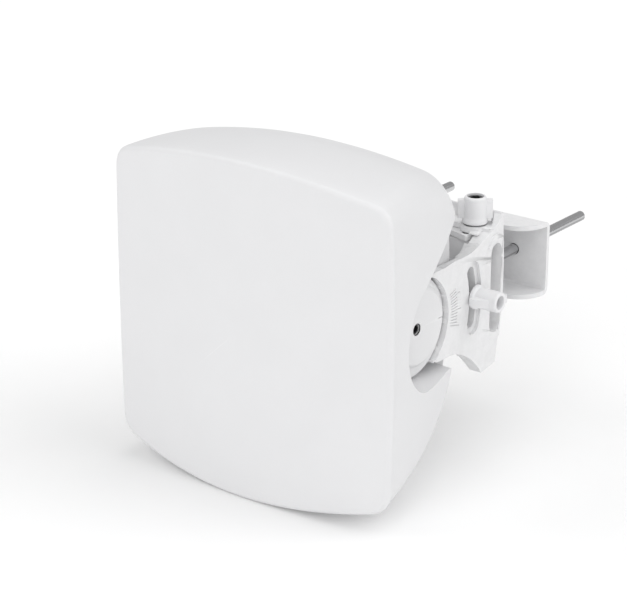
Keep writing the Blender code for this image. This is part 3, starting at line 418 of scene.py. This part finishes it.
def mirror_piece(ob, name, body, hides=()):
    bm = bmesh.new()
    bm.from_mesh(ob.data)
    bmesh.ops.scale(bm, vec=(-1, 1, 1), verts=bm.verts[:])
    bmesh.ops.reverse_faces(bm, faces=bm.faces[:])
    me = bpy.data.meshes.new(name)
    bm.to_mesh(me)
    bm.free()
    me.materials.append(ob.data.materials[0])
    me.shade_smooth()
    me.set_sharp_from_angle(angle=math.radians(38))
    out = bpy.data.objects.new(name, me)
    scene.collection.objects.link(out)
    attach(out, body)
    if hides:
        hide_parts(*hides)
    return out


def arc(cy, cz, r, a0, a1, n):
    return [(cy + r * math.cos(math.radians(a0 + (a1 - a0) * i / n)), cz + r * math.sin(math.radians(a0 + (a1 - a0) * i / n))) for i in range(n + 1)]


def racetrack(c0, c1, lo, hi, r, n=16):
    return arc(c0, hi - r, r, 0, 180, n) + arc(c0 + c1, lo + r, r, 180, 360, n)


def arc_slot(cy, cz, rad, a0, a1, half, n=24, m=14):
    e0 = (cy + rad * math.cos(math.radians(a0)), cz + rad * math.sin(math.radians(a0)))
    e1 = (cy + rad * math.cos(math.radians(a1)), cz + rad * math.sin(math.radians(a1)))
    pts = arc(cy, cz, rad + half, a0, a1, n)
    pts += arc(e1[0], e1[1], half, a1, a1 + 180, m)[1:-1]
    pts += arc(cy, cz, rad - half, a1, a0, n)
    pts += arc(e0[0], e0[1], half, a0 + 180, a0 + 360, m)[1:-1]
    return pts


def smooth_path(pts, n=6, closed=False):
    """Catmull-Rom through the points."""
    out = []
    k = len(pts)
    last = k if closed else k - 1
    for i in range(last):
        p0 = pts[(i - 1) % k] if closed or i > 0 else pts[0]
        p1, p2 = pts[i], pts[(i + 1) % k]
        p3 = pts[(i + 2) % k] if closed or i + 2 < k else pts[-1]
        for j in range(n):
            t = j / n
            out.append(tuple(0.5 * (2 * b + (c - a) * t + (2 * a - 5 * b + 4 * c - d) * t * t + (3 * b - a - 3 * c + d) * t ** 3)
                             for a, b, c, d in zip(p0, p1, p2, p3)))
    if not closed:
        out.append(tuple(pts[-1]))
    return out


# ------------------------------------------------------------------ housing
def outline(y, inset=0.0, top=64, side=52, cor=14):
    yy = min(max(y, 0.0), REAR_END)
    s = max(1.0 - (yy / DEPTH) ** 1.828, 1e-4) ** (1 / 5.212)
    w = HALF_W - 0.112 * yy - 0.00099 * yy * yy
    over = max(yy - (DEPTH - REAR_R), 0.0)
    w -= REAR_R * (1 - math.sqrt(max(1 - (over / REAR_R) ** 2, 0.0)))
    w -= inset
    h = HALF_H * s - inset
    a = ARCH * s ** 2.886
    zs = 0.11 * yy
    r = max(CORNER_R + 0.10 * yy - inset, 3.0)
    xt = w - r
    for _ in range(6):
        al = math.atan(2 * a * xt / (w * w))
        xt = w - r + r * math.sin(al)
    zt = h + a * (1 - (xt / w) ** 2)
    zc = zt - r * math.cos(al)
    half = []
    for i in range(side // 2 + 1):
        z = zc * i / (side // 2 + 0.0)
        half.append((w + BOW * s * (1 - (z / zc) ** 2), z))
    for i in range(1, cor + 1):
        t = math.pi / 2 - (math.pi / 2 - al) * i / cor
        half.append((w - r + r * math.sin(t), zc + r * math.cos(t)))
    for i in range(1, top // 2 + 1):
        x = xt * (1 - i / (top // 2 + 0.0))
        half.append((x, h + a * (1 - (x / w) ** 2)))
    up = half + [(-x, z) for x, z in reversed(half[:-1])]
    low = [(x, -z) for x, z in reversed(up[1:-1])]
    return [(x, z + zs) for x, z in up + low]


def bulge(x, y, fade=60.0):
    return BULGE * (1 - (x / HALF_W) ** 2) * max(0.0, 1 - y / fade)


def loft(name, rings, front_fan=None, mat=None, rear_fan=False, smooth=28.0):
    bm = bmesh.new()
    rows = [[bm.verts.new((x * MM, (y - POLE_Y) * MM, z * MM)) for x, y, z in ring] for ring in rings]
    n = len(rows[0])
    for a, b in zip(rows, rows[1:]):
        for i in range(n):
            j = (i + 1) % n
            bm.faces.new((a[i], a[j], b[j], b[i]))
    if front_fan is not None:
        c = bm.verts.new((front_fan[0] * MM, (front_fan[1] - POLE_Y) * MM, front_fan[2] * MM))
        for i in range(n):
            bm.faces.new((rows[0][(i + 1) % n], rows[0][i], c))
    else:
        bm.faces.new(list(reversed(rows[0])))
    if rear_fan:
        last = rings[-1]
        c = bm.verts.new((0.0, (last[0][1] - POLE_Y) * MM, (last[0][2] + last[n // 2][2]) / 2 * MM))
        for i in range(n):
            bm.faces.new((rows[-1][i], rows[-1][(i + 1) % n], c))
    else:
        bm.faces.new(rows[-1])
    return from_bm(name, bm, mat, smooth)


def shell_rings(inset, y_end, extra=0.0, n_front=(0.04, 0.12, 0.25, 0.38, 0.5, 0.62, 0.74, 0.84, 0.91, 0.96), depth=(), steps=6, **kw):
    rings = []
    edge = EDGE_R if inset == 0 else 1.0
    base = outline(0.0, inset + edge, **kw)
    for s in n_front:
        rings.append([(x * s, inset - bulge(x * s, 0), z * s) for x, z in base])
    for k in range(steps + 1):
        t = math.pi / 2 * k / steps
        o = outline(0.0, inset + edge * (1 - math.sin(t)), **kw)
        rings.append([(x, inset + edge * (1 - math.cos(t)) - bulge(x, 0), z) for x, z in o])
    for y in depth:
        o = outline(y, inset, **kw)
        rings.append([(x, y - bulge(x, y), z) for x, z in o])
    o = outline(min(y_end, REAR_END), inset, **kw)
    rings.append([(x, y_end + extra, z) for x, z in o])
    return rings


def pocket(name, grow, out=135.0, sign=1):
    def loop(r, up, drop):
        pts = arc(TILT_Y, TILT_Z, r, 118, 258, 60)
        low = [(y, z - drop) for y, z in ((82.0, -39.6), (98.0, -39.8), (107.5, -41.0), (117.5, -46.4), (128.0, -54.0), (150.0, -69.0))]
        pts += smooth_path(low, 5)
        ty, tz = pts[0]
        return [(150.0, tz + (150.0 - ty) * math.tan(math.radians(up)))] + pts
    a = loop(POCKET_R + grow - 1.0, 27.5, grow)
    b = loop(POCKET_R + grow + 1.6, 28.0, grow + RAMP)
    xa, xb = FLOOR_X - grow, out
    bm = bmesh.new()
    ra = [bm.verts.new((sign * xa * MM, (y - POLE_Y) * MM, z * MM)) for y, z in a]
    rb = [bm.verts.new((sign * xb * MM, (y - POLE_Y) * MM, z * MM)) for y, z in b]
    for i in range(len(ra)):
        j = (i + 1) % len(ra)
        bm.faces.new((ra[i], ra[j], rb[j], rb[i]))
    bm.faces.new(list(reversed(ra)))
    bm.faces.new(rb)
    return from_bm(name, bm, None, 0)


pk0 = [pocket("k_pocket_r", 0.0), pocket("k_pocket_l", 0.0, sign=-1)]
pkw = [pocket("k_pocket_wall_r", WALL), pocket("k_pocket_wall_l", WALL, sign=-1)]

radome = loft("k_radome", shell_rings(0.0, SPLIT_Y, depth=(6, 10, 15, 20, 26, 32, 38, 44, 50, 56, 62, 68, 74, 80, 85, 90, 94, 98, 102, 105, 108, 110)),
              (0, -BULGE, 0), rear_fan=True)
hollow = loft("k_radome_hollow", shell_rings(WALL, SPLIT_Y, extra=3.0, n_front=(0.3, 0.6, 0.85), depth=(14, 26, 40, 52, 64, 76, 86, 95, 101, 106, 109, 112),
                                             steps=2, top=26, side=16, cor=6), (0, WALL - BULGE, 0))
carve(hollow, *pkw)
for i, (x, z, s) in enumerate(BOSS):
    carve(hollow, rod("k_boss_%d" % i, 'Y', 78.0, 120.0, (x, z), 6.0, seg=20))
    z1 = z + s * 34.0
    carve(hollow, box("k_rib_%d" % i, x - 1.2, x + 1.2, 80.0, 109.2, min(z, z1), max(z, z1)))
for sx in (1, -1):
    carve(hollow, rod("k_pivot_%d" % sx, 'X', min(sx * 62, sx * 84), max(sx * 62, sx * 84), (TILT_Y, TILT_Z), 9.0, seg=24))
carve(radome, *pk0, hollow)
for sx in (1, -1):
    carve(radome, rod("k_tap_%d" % sx, 'X', min(sx * 64.5, sx * 84), max(sx * 64.5, sx * 84), (TILT_Y, TILT_Z), 3.9, seg=24))
for i, (x, z, s) in enumerate(BOSS):
    carve(radome, rod("k_boss_hole_%d" % i, 'Y', 93.0, 120.0, (x, z), 2.0, seg=14))
bake(radome, "radome_smooth", "radio", M["shell_white"], smooth=24.0, hides=["radome_shell"])

# ------------------------------------------------------------------ pivot caps
RAISE_Y = TILT_Y + 4.2
cap = turned("k_cap", soft([(3.9, 94.0), (29.4, 94.0), (36.6, 93.1), (37.0, 92.4), (37.0, 90.9), (9.0, 90.9), (9.0, 86.0), (3.9, 86.0), (3.9, 94.0)], 0.5, 3),
             'X', (TILT_Y, TILT_Z), steps=120)
disc = turned("k_cap_disc", soft([(0, 91.5), (0, 96.4), (27.2, 96.4), (28.9, 94.9), (30.4, 93.4), (30.4, 91.5), (0, 91.5)], 0.8, 4), 'X', (RAISE_Y, TILT_Z), steps=120)
carve(cap, disc, op='UNION')
carve(cap, rod("k_cap_bore", 'X', 80.0, 100.0, (TILT_Y, TILT_Z), 3.9, seg=40),
      rod("k_cap_sink", 'X', 95.7, 100.0, (TILT_Y, TILT_Z), 4.2, seg=40, r2=5.6),
      box("k_cap_tick", 93.2, 99.0, TILT_Y + 26.5, TILT_Y + 32.5, TILT_Z - 0.35, TILT_Z + 0.35))
cap_r = bake(cap, "cap_smooth_r", "radio", M["cap_white"], bevel=0.25, seg=2, hides=["pivot_cap_r"])
mirror_piece(cap_r, "cap_smooth_l", "radio", hides=["pivot_cap_l"])

# dark screw heads seen at the bottom of the caps' bores
head = turned("k_pivot", [(0, 65.2), (3.0, 65.2), (3.7, 66.0), (3.7, 94.7), (3.3, 95.1), (2.5, 95.1), (2.5, 91.0), (0, 91.0)], 'X', (TILT_Y, TILT_Z), steps=40)
head_r = bake(head, "pivot_socket_r", "radio", M["screw_black"], hides=["pivot_screw_r"])
mirror_piece(head_r, "pivot_socket_l", "radio", hides=["pivot_screw_l"])

# ------------------------------------------------------------------ yoke
top_edge = smooth_path([(98.4, 36.6), (110.8, 38.0), (122.0, 37.6), (131.0, 38.0), (141.6, 41.1), (150.0, 43.2), (156.2, 45.9), (162.0, 48.6), (167.1, 52.5), (173.2, 58.0)], 6)
low_edge = smooth_path([(86.4, -29.4), (92.0, -32.3), (101.0, -32.6), (112.8, -33.2), (123.0, -36.8), (134.4, -43.7), (142.2, -50.7), (148.0, -56.8), (151.2, -60.4)], 5)
front = arc(TILT_Y, TILT_Z, 38.2, -57.0, 66.0, 60)
arm_out = front + [(84.6, 36.4), (90.0, 36.8)] + top_edge + [(174.0, 45.0), (175.7, 23.7), (175.9, -3.0), (172.8, -34.7), (169.2, -57.4)] + list(reversed(low_edge))


def near(pts):
    out = []
    for p in pts:
        if not out or math.dist(p, out[-1]) > 0.25:
            out.append(p)
    return out


arm_out = near(arm_out)


def step(table_, y):
    """Straight-line look-up in (y, value) pairs."""
    if y <= table_[0][0]:
        return table_[0][1]
    for (a, u), (b, v) in zip(table_, table_[1:]):
        if y <= b:
            return u + (v - u) * (y - a) / (b - a)
    return table_[-1][1]


yoke = flat("k_arm_r", arm_out, 'X', ARM_IN, ARM_OUT)
carve(yoke, flat("k_arm_l", arm_out, 'X', -ARM_OUT, -ARM_IN), op='UNION')
RAMP_ROWS = [(97.4, 36.5, 30.6, 82.4), (104, 37.2, 30.8, 82.4), (110.8, 38.1, 31.0, 82.4), (122, 37.7, 31.1, 82.4), (128, 37.8, 31.3, 82.4), (133, 38.4, 31.7, 82.4), (137, 39.3, 32.4, 82.4),
             (140, 40.4, 33.6, 82.4), (142.4, 41.3, 35.6, 82.4), (144.0, 41.8, 37.8, 82.4), (144.9, 42.1, 39.4, 82.4), (145.1, 42.2, 39.8, 85.9), (148, 43.1, 41.6, 85.9),
             (151, 44.1, 43.4, 85.9), (154, 45.2, 44.8, 85.9), (157.6, 46.6, 46.4, 85.9)]


def ramp_piece(name, sg, above=False):
    """The slanted ramp as a solid, or the room above it that trims the arm's top edge."""
    dense = []
    for a, b in zip(RAMP_ROWS, RAMP_ROWS[1:]):
        dense.append(a)
        if b[0] - a[0] > 2:
            dense.append(tuple((u + v) / 2 for u, v in zip(a, b)))
    dense.append(RAMP_ROWS[-1])
    bm = bmesh.new()
    rows = []
    for y, zo, zi, xi in dense:
        t = (zo - zi) / (ARM_OUT - xi)
        sec = ([(xi - 4.0, zi - 4.0 * t + 0.02), (ARM_OUT + 2.0, zo + 2.0 * t + 0.02), (ARM_OUT + 2.0, 61.0), (xi - 4.0, 61.0)] if above else
               [(xi, zi), (ARM_OUT - 0.02, zo), (ARM_OUT - 0.02, zo - 3.4), (xi, zi - 2.8)])
        rows.append([bm.verts.new((sg * x * MM, (y - POLE_Y) * MM, z * MM)) for x, z in sec])
    for a, b in zip(rows, rows[1:]):
        for i in range(4):
            bm.faces.new((a[i], a[(i + 1) % 4], b[(i + 1) % 4], b[i]))
    bm.faces.new(rows[0])
    bm.faces.new(list(reversed(rows[-1])))
    bmesh.ops.triangulate(bm, faces=bm.faces[:])
    return from_bm(name, bm, None, 0)


carve(yoke, ramp_piece("k_ramp_room_r", 1, True), ramp_piece("k_ramp_room_l", -1, True))
deck = flat("k_deck", [(-96.4, 157.6), (96.4, 157.6), (96.4, 174.0), (-96.4, 174.0)], 'Z', DECK_Z0, DECK_Z1)
rail = flat("k_back_rail", [(172.0, 45.6), (174.4, 45.6), (173.0, 57.7), (171.9, 57.7), (171.8, 47.4)], 'X', -96.0, 96.0)
web = box("k_web", -ARM_IN - 1.13, ARM_IN + 1.13, 150.21, 154.19, -4.93, 37.3)
web_rail = box("k_web_rail", -ARM_IN - 0.77, ARM_IN + 0.77, 150.13, 156.0, 36.0, 39.45)
carve(yoke, web, web_rail, deck, rail, op='UNION')
for sg in (1, -1):
    lo_hi = lambda a, b: (min(sg * a, sg * b), max(sg * a, sg * b))
    x0, x1 = lo_hi(ARM_IN, 90.6)
    carve(yoke, rod("k_hub_%d" % sg, 'X', x0, x1, (TILT_Y, TILT_Z), 34.0, seg=96), op='UNION')
    x0, x1 = lo_hi(ARM_IN + 0.4, 90.2)
    carve(yoke, flat("k_neck_%d" % sg, [(78.0, -25.0), (110.0, -25.0), (110.0, 26.0), (78.0, 26.0)], 'X', x0, x1), op='UNION')
    # wide top ramp running inboard from the arm's top edge, open where the swing plate passes
    carve(yoke, ramp_piece("k_ramp_%d" % sg, sg), op='UNION')
    x0, x1 = lo_hi(82.63 + 0.06 * sg, 90.0)
    carve(yoke, flat("k_deck_nose_%d" % sg, [(150.0, 44.83), (150.5, 45.7), (156.2, 47.6), (159.0, 48.17), (159.0, 44.83)], 'X', x0, x1), op='UNION')
    carve(yoke, rod("k_lock_boss_%d" % sg, 'Z', DECK_Z0 + 0.07, 48.9, (sg * LOCK_X, LOCK_Y), 10.4, seg=64), op='UNION')
    # wedge boss over the rear slot and a shallow step below it
    x0, x1 = lo_hi(96.0, 98.5)
    carve(yoke, flat("k_wedge_%d" % sg, [(153.2, 35.8), (156.6, 39.9), (160.4, 43.4), (166.4, 43.8), (172.4, 40.6), (168.8, 38.9), (164.4, 38.7), (159.4, 37.8), (156.4, 34.4)], 'X', x0, x1), op='UNION')
    x0, x1 = lo_hi(96.1, 99.0)
    carve(yoke, flat("k_step_%d" % sg, [(149.6, -43.0), (154.6, -39.4), (180.0, -36.2), (180.0, -66.0), (146.0, -66.0)], 'X', x0, x1))
    # slots and their recesses
    x0, x1 = lo_hi(80.0, 100.0)
    carve(yoke, flat("k_slot_%d" % sg, arc_slot(TILT_Y, TILT_Z, SLOT_R, SLOT_LO, SLOT_HI, 4.2), 'X', x0, x1))
    a, b = lo_hi(94.6, 100.0)
    carve(yoke, flat("k_slot_recess_%d" % sg, arc_slot(TILT_Y, TILT_Z, SLOT_R, SLOT_LO - 1, SLOT_HI + 1, 7.8), 'X', a, b))
    carve(yoke, flat("k_relief_%d" % sg, racetrack(165.6, 0.0, -32.3, 36.3, 6.8), 'X', x0, x1))
    carve(yoke, rod("k_hub_bore_%d" % sg, 'X', x0, x1, (TILT_Y, TILT_Z), 9.4, seg=40))
    carve(yoke, rod("k_lock_hole_%d" % sg, 'Z', 30.0, 70.0, (sg * LOCK_X, LOCK_Y), 3.4, seg=32))
    carve(yoke, rod("k_knob_room_%d" % sg, 'Z', 49.0, 70.0, (sg * LOCK_X, LOCK_Y), 13.4, seg=64))
SCALES = []
for sg in (1, -1):
    # angle scale engraved beside the cap
    bm = bmesh.new()
    for k in range(-5, 8):
        ang = math.radians(2.75 * k)
        r0, r1 = (41.6, 53.4) if k % 5 == 0 else (41.6, 49.6)
        c, s_ = math.cos(ang), math.sin(ang)
        vs = []
        for xx in (ARM_OUT - 0.7, ARM_OUT + 0.6):
            for rr, tt in ((r0, -0.36), (r1, -0.36), (r1, 0.36), (r0, 0.36)):
                vs.append(bm.verts.new((sg * xx * MM, (TILT_Y + rr * c - tt * s_ - POLE_Y) * MM, (TILT_Z + rr * s_ + tt * c) * MM)))
        for q in ((0, 1, 2, 3), (7, 6, 5, 4), (0, 4, 5, 1), (1, 5, 6, 2), (2, 6, 7, 3), (3, 7, 4, 0)):
            bm.faces.new([vs[i] for i in q])
    SCALES.append(from_bm("k_scale_%d" % sg, bm, None, 0))
carve(yoke, rod("k_pin_boss", 'Z', DECK_Z0 + 0.11, 52.4, (0.0, SWING_Y), 9.5, seg=48), op='UNION')
carve(yoke, rod("k_pin_hole", 'Z', 30.0, 70.0, (0.0, SWING_Y), 4.4, seg=32), rod("k_pin_room", 'Z', 52.5, 70.0, (0.0, SWING_Y), 7.4, seg=48))
bake(yoke, "yoke_cast", "yoke_body", M["cast_white"], bevel=0.7, seg=3, hides=["yoke"], after=SCALES)

# ------------------------------------------------------------------ tilt lock knobs
kn = turned("k_tilt_knob", soft([(4.9, 118.6), (6.9, 118.6), (7.5, 117.6), (7.6, 100.8), (8.9, 100.0), (9.2, 97.5), (3.2, 97.5), (3.2, 108.5), (4.7, 109.4), (4.9, 118.6)], 0.7, 4),
            'X', (KNOB_Y, KNOB_Z), steps=72)
carve(kn, flat("k_tilt_wing_0", [(99.9, 133.0), (99.9, 126.9), (104.8, 126.2), (112.4, 130.4), (114.4, 133.0)], 'Z', KNOB_Z - 2.9, KNOB_Z + 2.9),
      flat("k_tilt_wing_1", [(99.9, 145.0), (99.9, 151.1), (104.0, 151.6), (113.6, 151.4), (117.2, 149.6), (117.6, 145.0)], 'Z', KNOB_Z - 2.9, KNOB_Z + 2.9), op='UNION')
kn_r = bake(kn, "tilt_grip_r", "tilt_lock_r", M["knob_white"], bevel=0.9, seg=4, angle=40, hides=["tilt_knob_r"])
mirror_piece(kn_r, "tilt_grip_l", "tilt_lock_l", hides=["tilt_knob_l"])

# ------------------------------------------------------------------ swing lock knobs
sw = turned("k_swing_knob", soft([(6.2, LK0 + 20.0), (7.2, LK0 + 20.0), (8.2, LK0 + 18.6), (8.3, LK0 + 4.4), (9.2, LK0 + 2.4), (9.4, LK0), (3.3, LK0), (3.3, LK0 + 8.0),
                                  (6.2, LK0 + 10.0), (6.2, LK0 + 20.0)], 0.8, 4), 'Z', (LOCK_X, LOCK_Y), steps=72)
ux, uy = 0.794, 0.608


def wing_loop(d0, d1, t):
    return [(LOCK_X + ux * d + uy * s * t, LOCK_Y + uy * d - ux * s * t) for d, s in ((d0, -1), (d1, -1), (d1, 1), (d0, 1))]


carve(sw, flat("k_swing_wing_a", wing_loop(-12.6, -6.9, 2.4), 'Z', LK0 + 3.6, LK0 + 17.4),
      flat("k_swing_wing_b", wing_loop(6.9, 12.6, 2.4), 'Z', LK0 + 3.6, LK0 + 17.4), op='UNION')
sw_r = bake(sw, "swing_grip_r", "swing_lock_r", M["knob_white"], bevel=0.9, seg=4, angle=40, hides=["swing_knob_r"])
mirror_piece(sw_r, "swing_grip_l", "swing_lock_l", hides=["swing_knob_l"])
for sx, tag in ((1, "r"), (-1, "l")):
    bo = turned("k_bolt_" + tag, soft([(0, LK0 + 11.6), (3.0, LK0 + 11.6), (3.2, LK0 + 18.8), (5.2, LK0 + 18.8), (5.9, LK0 + 18.1), (5.9, LK0 + 10.4), (3.0, LK0 + 9.0),
                                       (3.0, 32.5), (2.5, 32.0), (0, 32.0)], 0.3, 2), 'Z', (sx * LOCK_X, LOCK_Y), steps=48)
    carve(bo, rod("k_hex_" + tag, 'Z', LK0 + 11.0, LK0 + 19.4, (sx * LOCK_X, LOCK_Y), 3.7, seg=6))
    bake(bo, "swing_bolt_socket_" + tag, "swing_lock_" + tag, M["dark_steel"], bevel=0.15, seg=2, hides=["swing_bolt_" + tag])

# ------------------------------------------------------------------ clamp channel, rods, nuts
z0, z1 = CLAMP_Z0, CLAMP_Z1
sec = [(214.0, z1)] + arc(243.0, z1 - 5.5, 5.5, 90, 0, 8) + arc(243.0, z0 + 5.5, 5.5, 0, -90, 8) + [(214.0, z0), (214.0, z0 + SHEET)] + \
    arc(243.0, z0 + SHEET + 2.0, 2.0, -90, 0, 5) + arc(243.0, z1 - SHEET - 2.0, 2.0, 0, 90, 5) + [(214.0, z1 - SHEET)]
clamp = flat("k_clamp", sec, 'X', -CLAMP_X, CLAMP_X)
half = [(CLAMP_X + 1, 252.0), (CLAMP_X + 1, 244.4)] + arc(67.0, 243.0, 24.0, 0, -90, 28) + [(40.0, 218.2), (V_A, 218.2), (V_B, 237.6)]
half[1] = (CLAMP_X + 1, 243.6)
plan = near(half + [(-x, y) for x, y in reversed(half)])
carve(clamp, flat("k_clamp_plan", plan, 'Z', -60.0, 60.0), op='INTERSECT')
for sx in (1, -1):
    carve(clamp, rod("k_clamp_hole_%d" % sx, 'Y', 230.0, 260.0, (sx * ROD_X, ROD_Z), 4.4, seg=40))
bake(clamp, "clamp_channel", "clamp", M["sheet_white"], bevel=0.8, seg=4, hides=["rear_clamp"])

for sx, tag in ((1, "r"), (-1, "l")):
    r_ = turned("k_rod_" + tag, soft([(0, ROD_END), (3.2, ROD_END), (4.0, ROD_END - 0.9), (4.0, 176.9), (3.3, 176.0), (0, 176.0)], 0.3, 3), 'Y', (sx * ROD_X, ROD_Z), steps=56)
    bake(r_, "clamp_rod_bright_" + tag, "bracket", M["rod_steel"], smooth=50, hides=["clamp_rod_" + tag])

for n_, body, y0, y1 in (("rod_nut_r", "bracket", 177.4, 181.7), ("rod_nut_l", "bracket", 177.4, 181.7), ("clamp_nut_r", "nut_r", 250.8, 257.6), ("clamp_nut_l", "nut_l", 250.8, 257.6)):
    sx = 1 if n_.endswith("r") else -1
    nut = rod("k_" + n_, 'Y', y0, y1, (sx * ROD_X, ROD_Z), 7.51, seg=6)
    carve(nut, turned("k_chamfer_" + n_, [(0, y0 - 1), (5.0, y0 - 1), (6.5, y0), (7.9, y0 + 0.9), (7.9, y1 - 0.9), (6.5, y1), (5.0, y1 + 1), (0, y1 + 1)], 'Y', (sx * ROD_X, ROD_Z), steps=48), op='INTERSECT')
    carve(nut, rod("k_hole_" + n_, 'Y', y0 - 5, y1 + 5, (sx * ROD_X, ROD_Z), ROD_R + 0.3, seg=40))
    bake(nut, n_.replace("nut", "hexnut"), body, M["steel"], bevel=0.2, seg=2, hides=[n_])

for ob in JUNK:
    try:
        bpy.data.objects.remove(ob, do_unlink=True)
    except ReferenceError:
        pass

# ------------------------------------------------------------------ floor, lights and camera
FLOOR_Z = CAD_BOX[0][2] - 0.0002
me = bpy.data.meshes.new("studio_floor")
bm = bmesh.new()
bmesh.ops.create_grid(bm, x_segments=24, y_segments=24, size=6.0)
bm.to_mesh(me)
bm.free()
floor = bpy.data.objects.new("studio_floor", me)
floor.location = (0, 0, FLOOR_Z)
scene.collection.objects.link(floor)
fm = finish("floor_pale", (0.90, 0.90, 0.90), 0.8, grain=60, bump=0.02, vary=0.003, wear=0.0, spec=0.05, glow=0.05)
floor.data.materials.append(fm)

world = bpy.data.worlds.new("studio")
scene.world = world
world.use_nodes = True
bg = world.node_tree.nodes["Background"]
bg.inputs["Color"].default_value = (1.0, 1.0, 1.0, 1.0)
bg.inputs["Strength"].default_value = 0.46


def soft_sun(name, frm, power, angle):
    li = bpy.data.lights.new(name, 'SUN')
    li.energy = power
    li.angle = math.radians(angle)
    ob = bpy.data.objects.new(name, li)
    ob.rotation_euler = Vector(frm).to_track_quat('Z', 'Y').to_euler()
    scene.collection.objects.link(ob)


soft_sun("front_soft", (0.30, -1.0, 0.50), 1.13, 60)
soft_sun("right_soft", (1.0, 0.50, 1.05), 1.06, 50)
soft_sun("left_soft", (-0.9, -0.45, 0.95), 0.46, 34)
soft_sun("top_soft", (0.0, 0.30, 1.0), 0.52, 40)

cam = bpy.data.cameras.new("camera")
cam.lens = 125.97
cam.sensor_width = 36.0
cam.sensor_fit = 'HORIZONTAL'
cam.clip_start, cam.clip_end = 0.05, 50.0
co = bpy.data.objects.new("camera", cam)
rot = Matrix(((0.79404, -0.2184, 0.56731), (0.60788, 0.2852, -0.74105), (0.0, 0.9333, 0.35920)))
co.matrix_world = Matrix.Translation((0.8982, -1.3104, 0.5666)) @ rot.to_4x4()
scene.collection.objects.link(co)
scene.camera = co
scene.view_settings.view_transform = 'Standard'

bpy.context.view_layer.update()
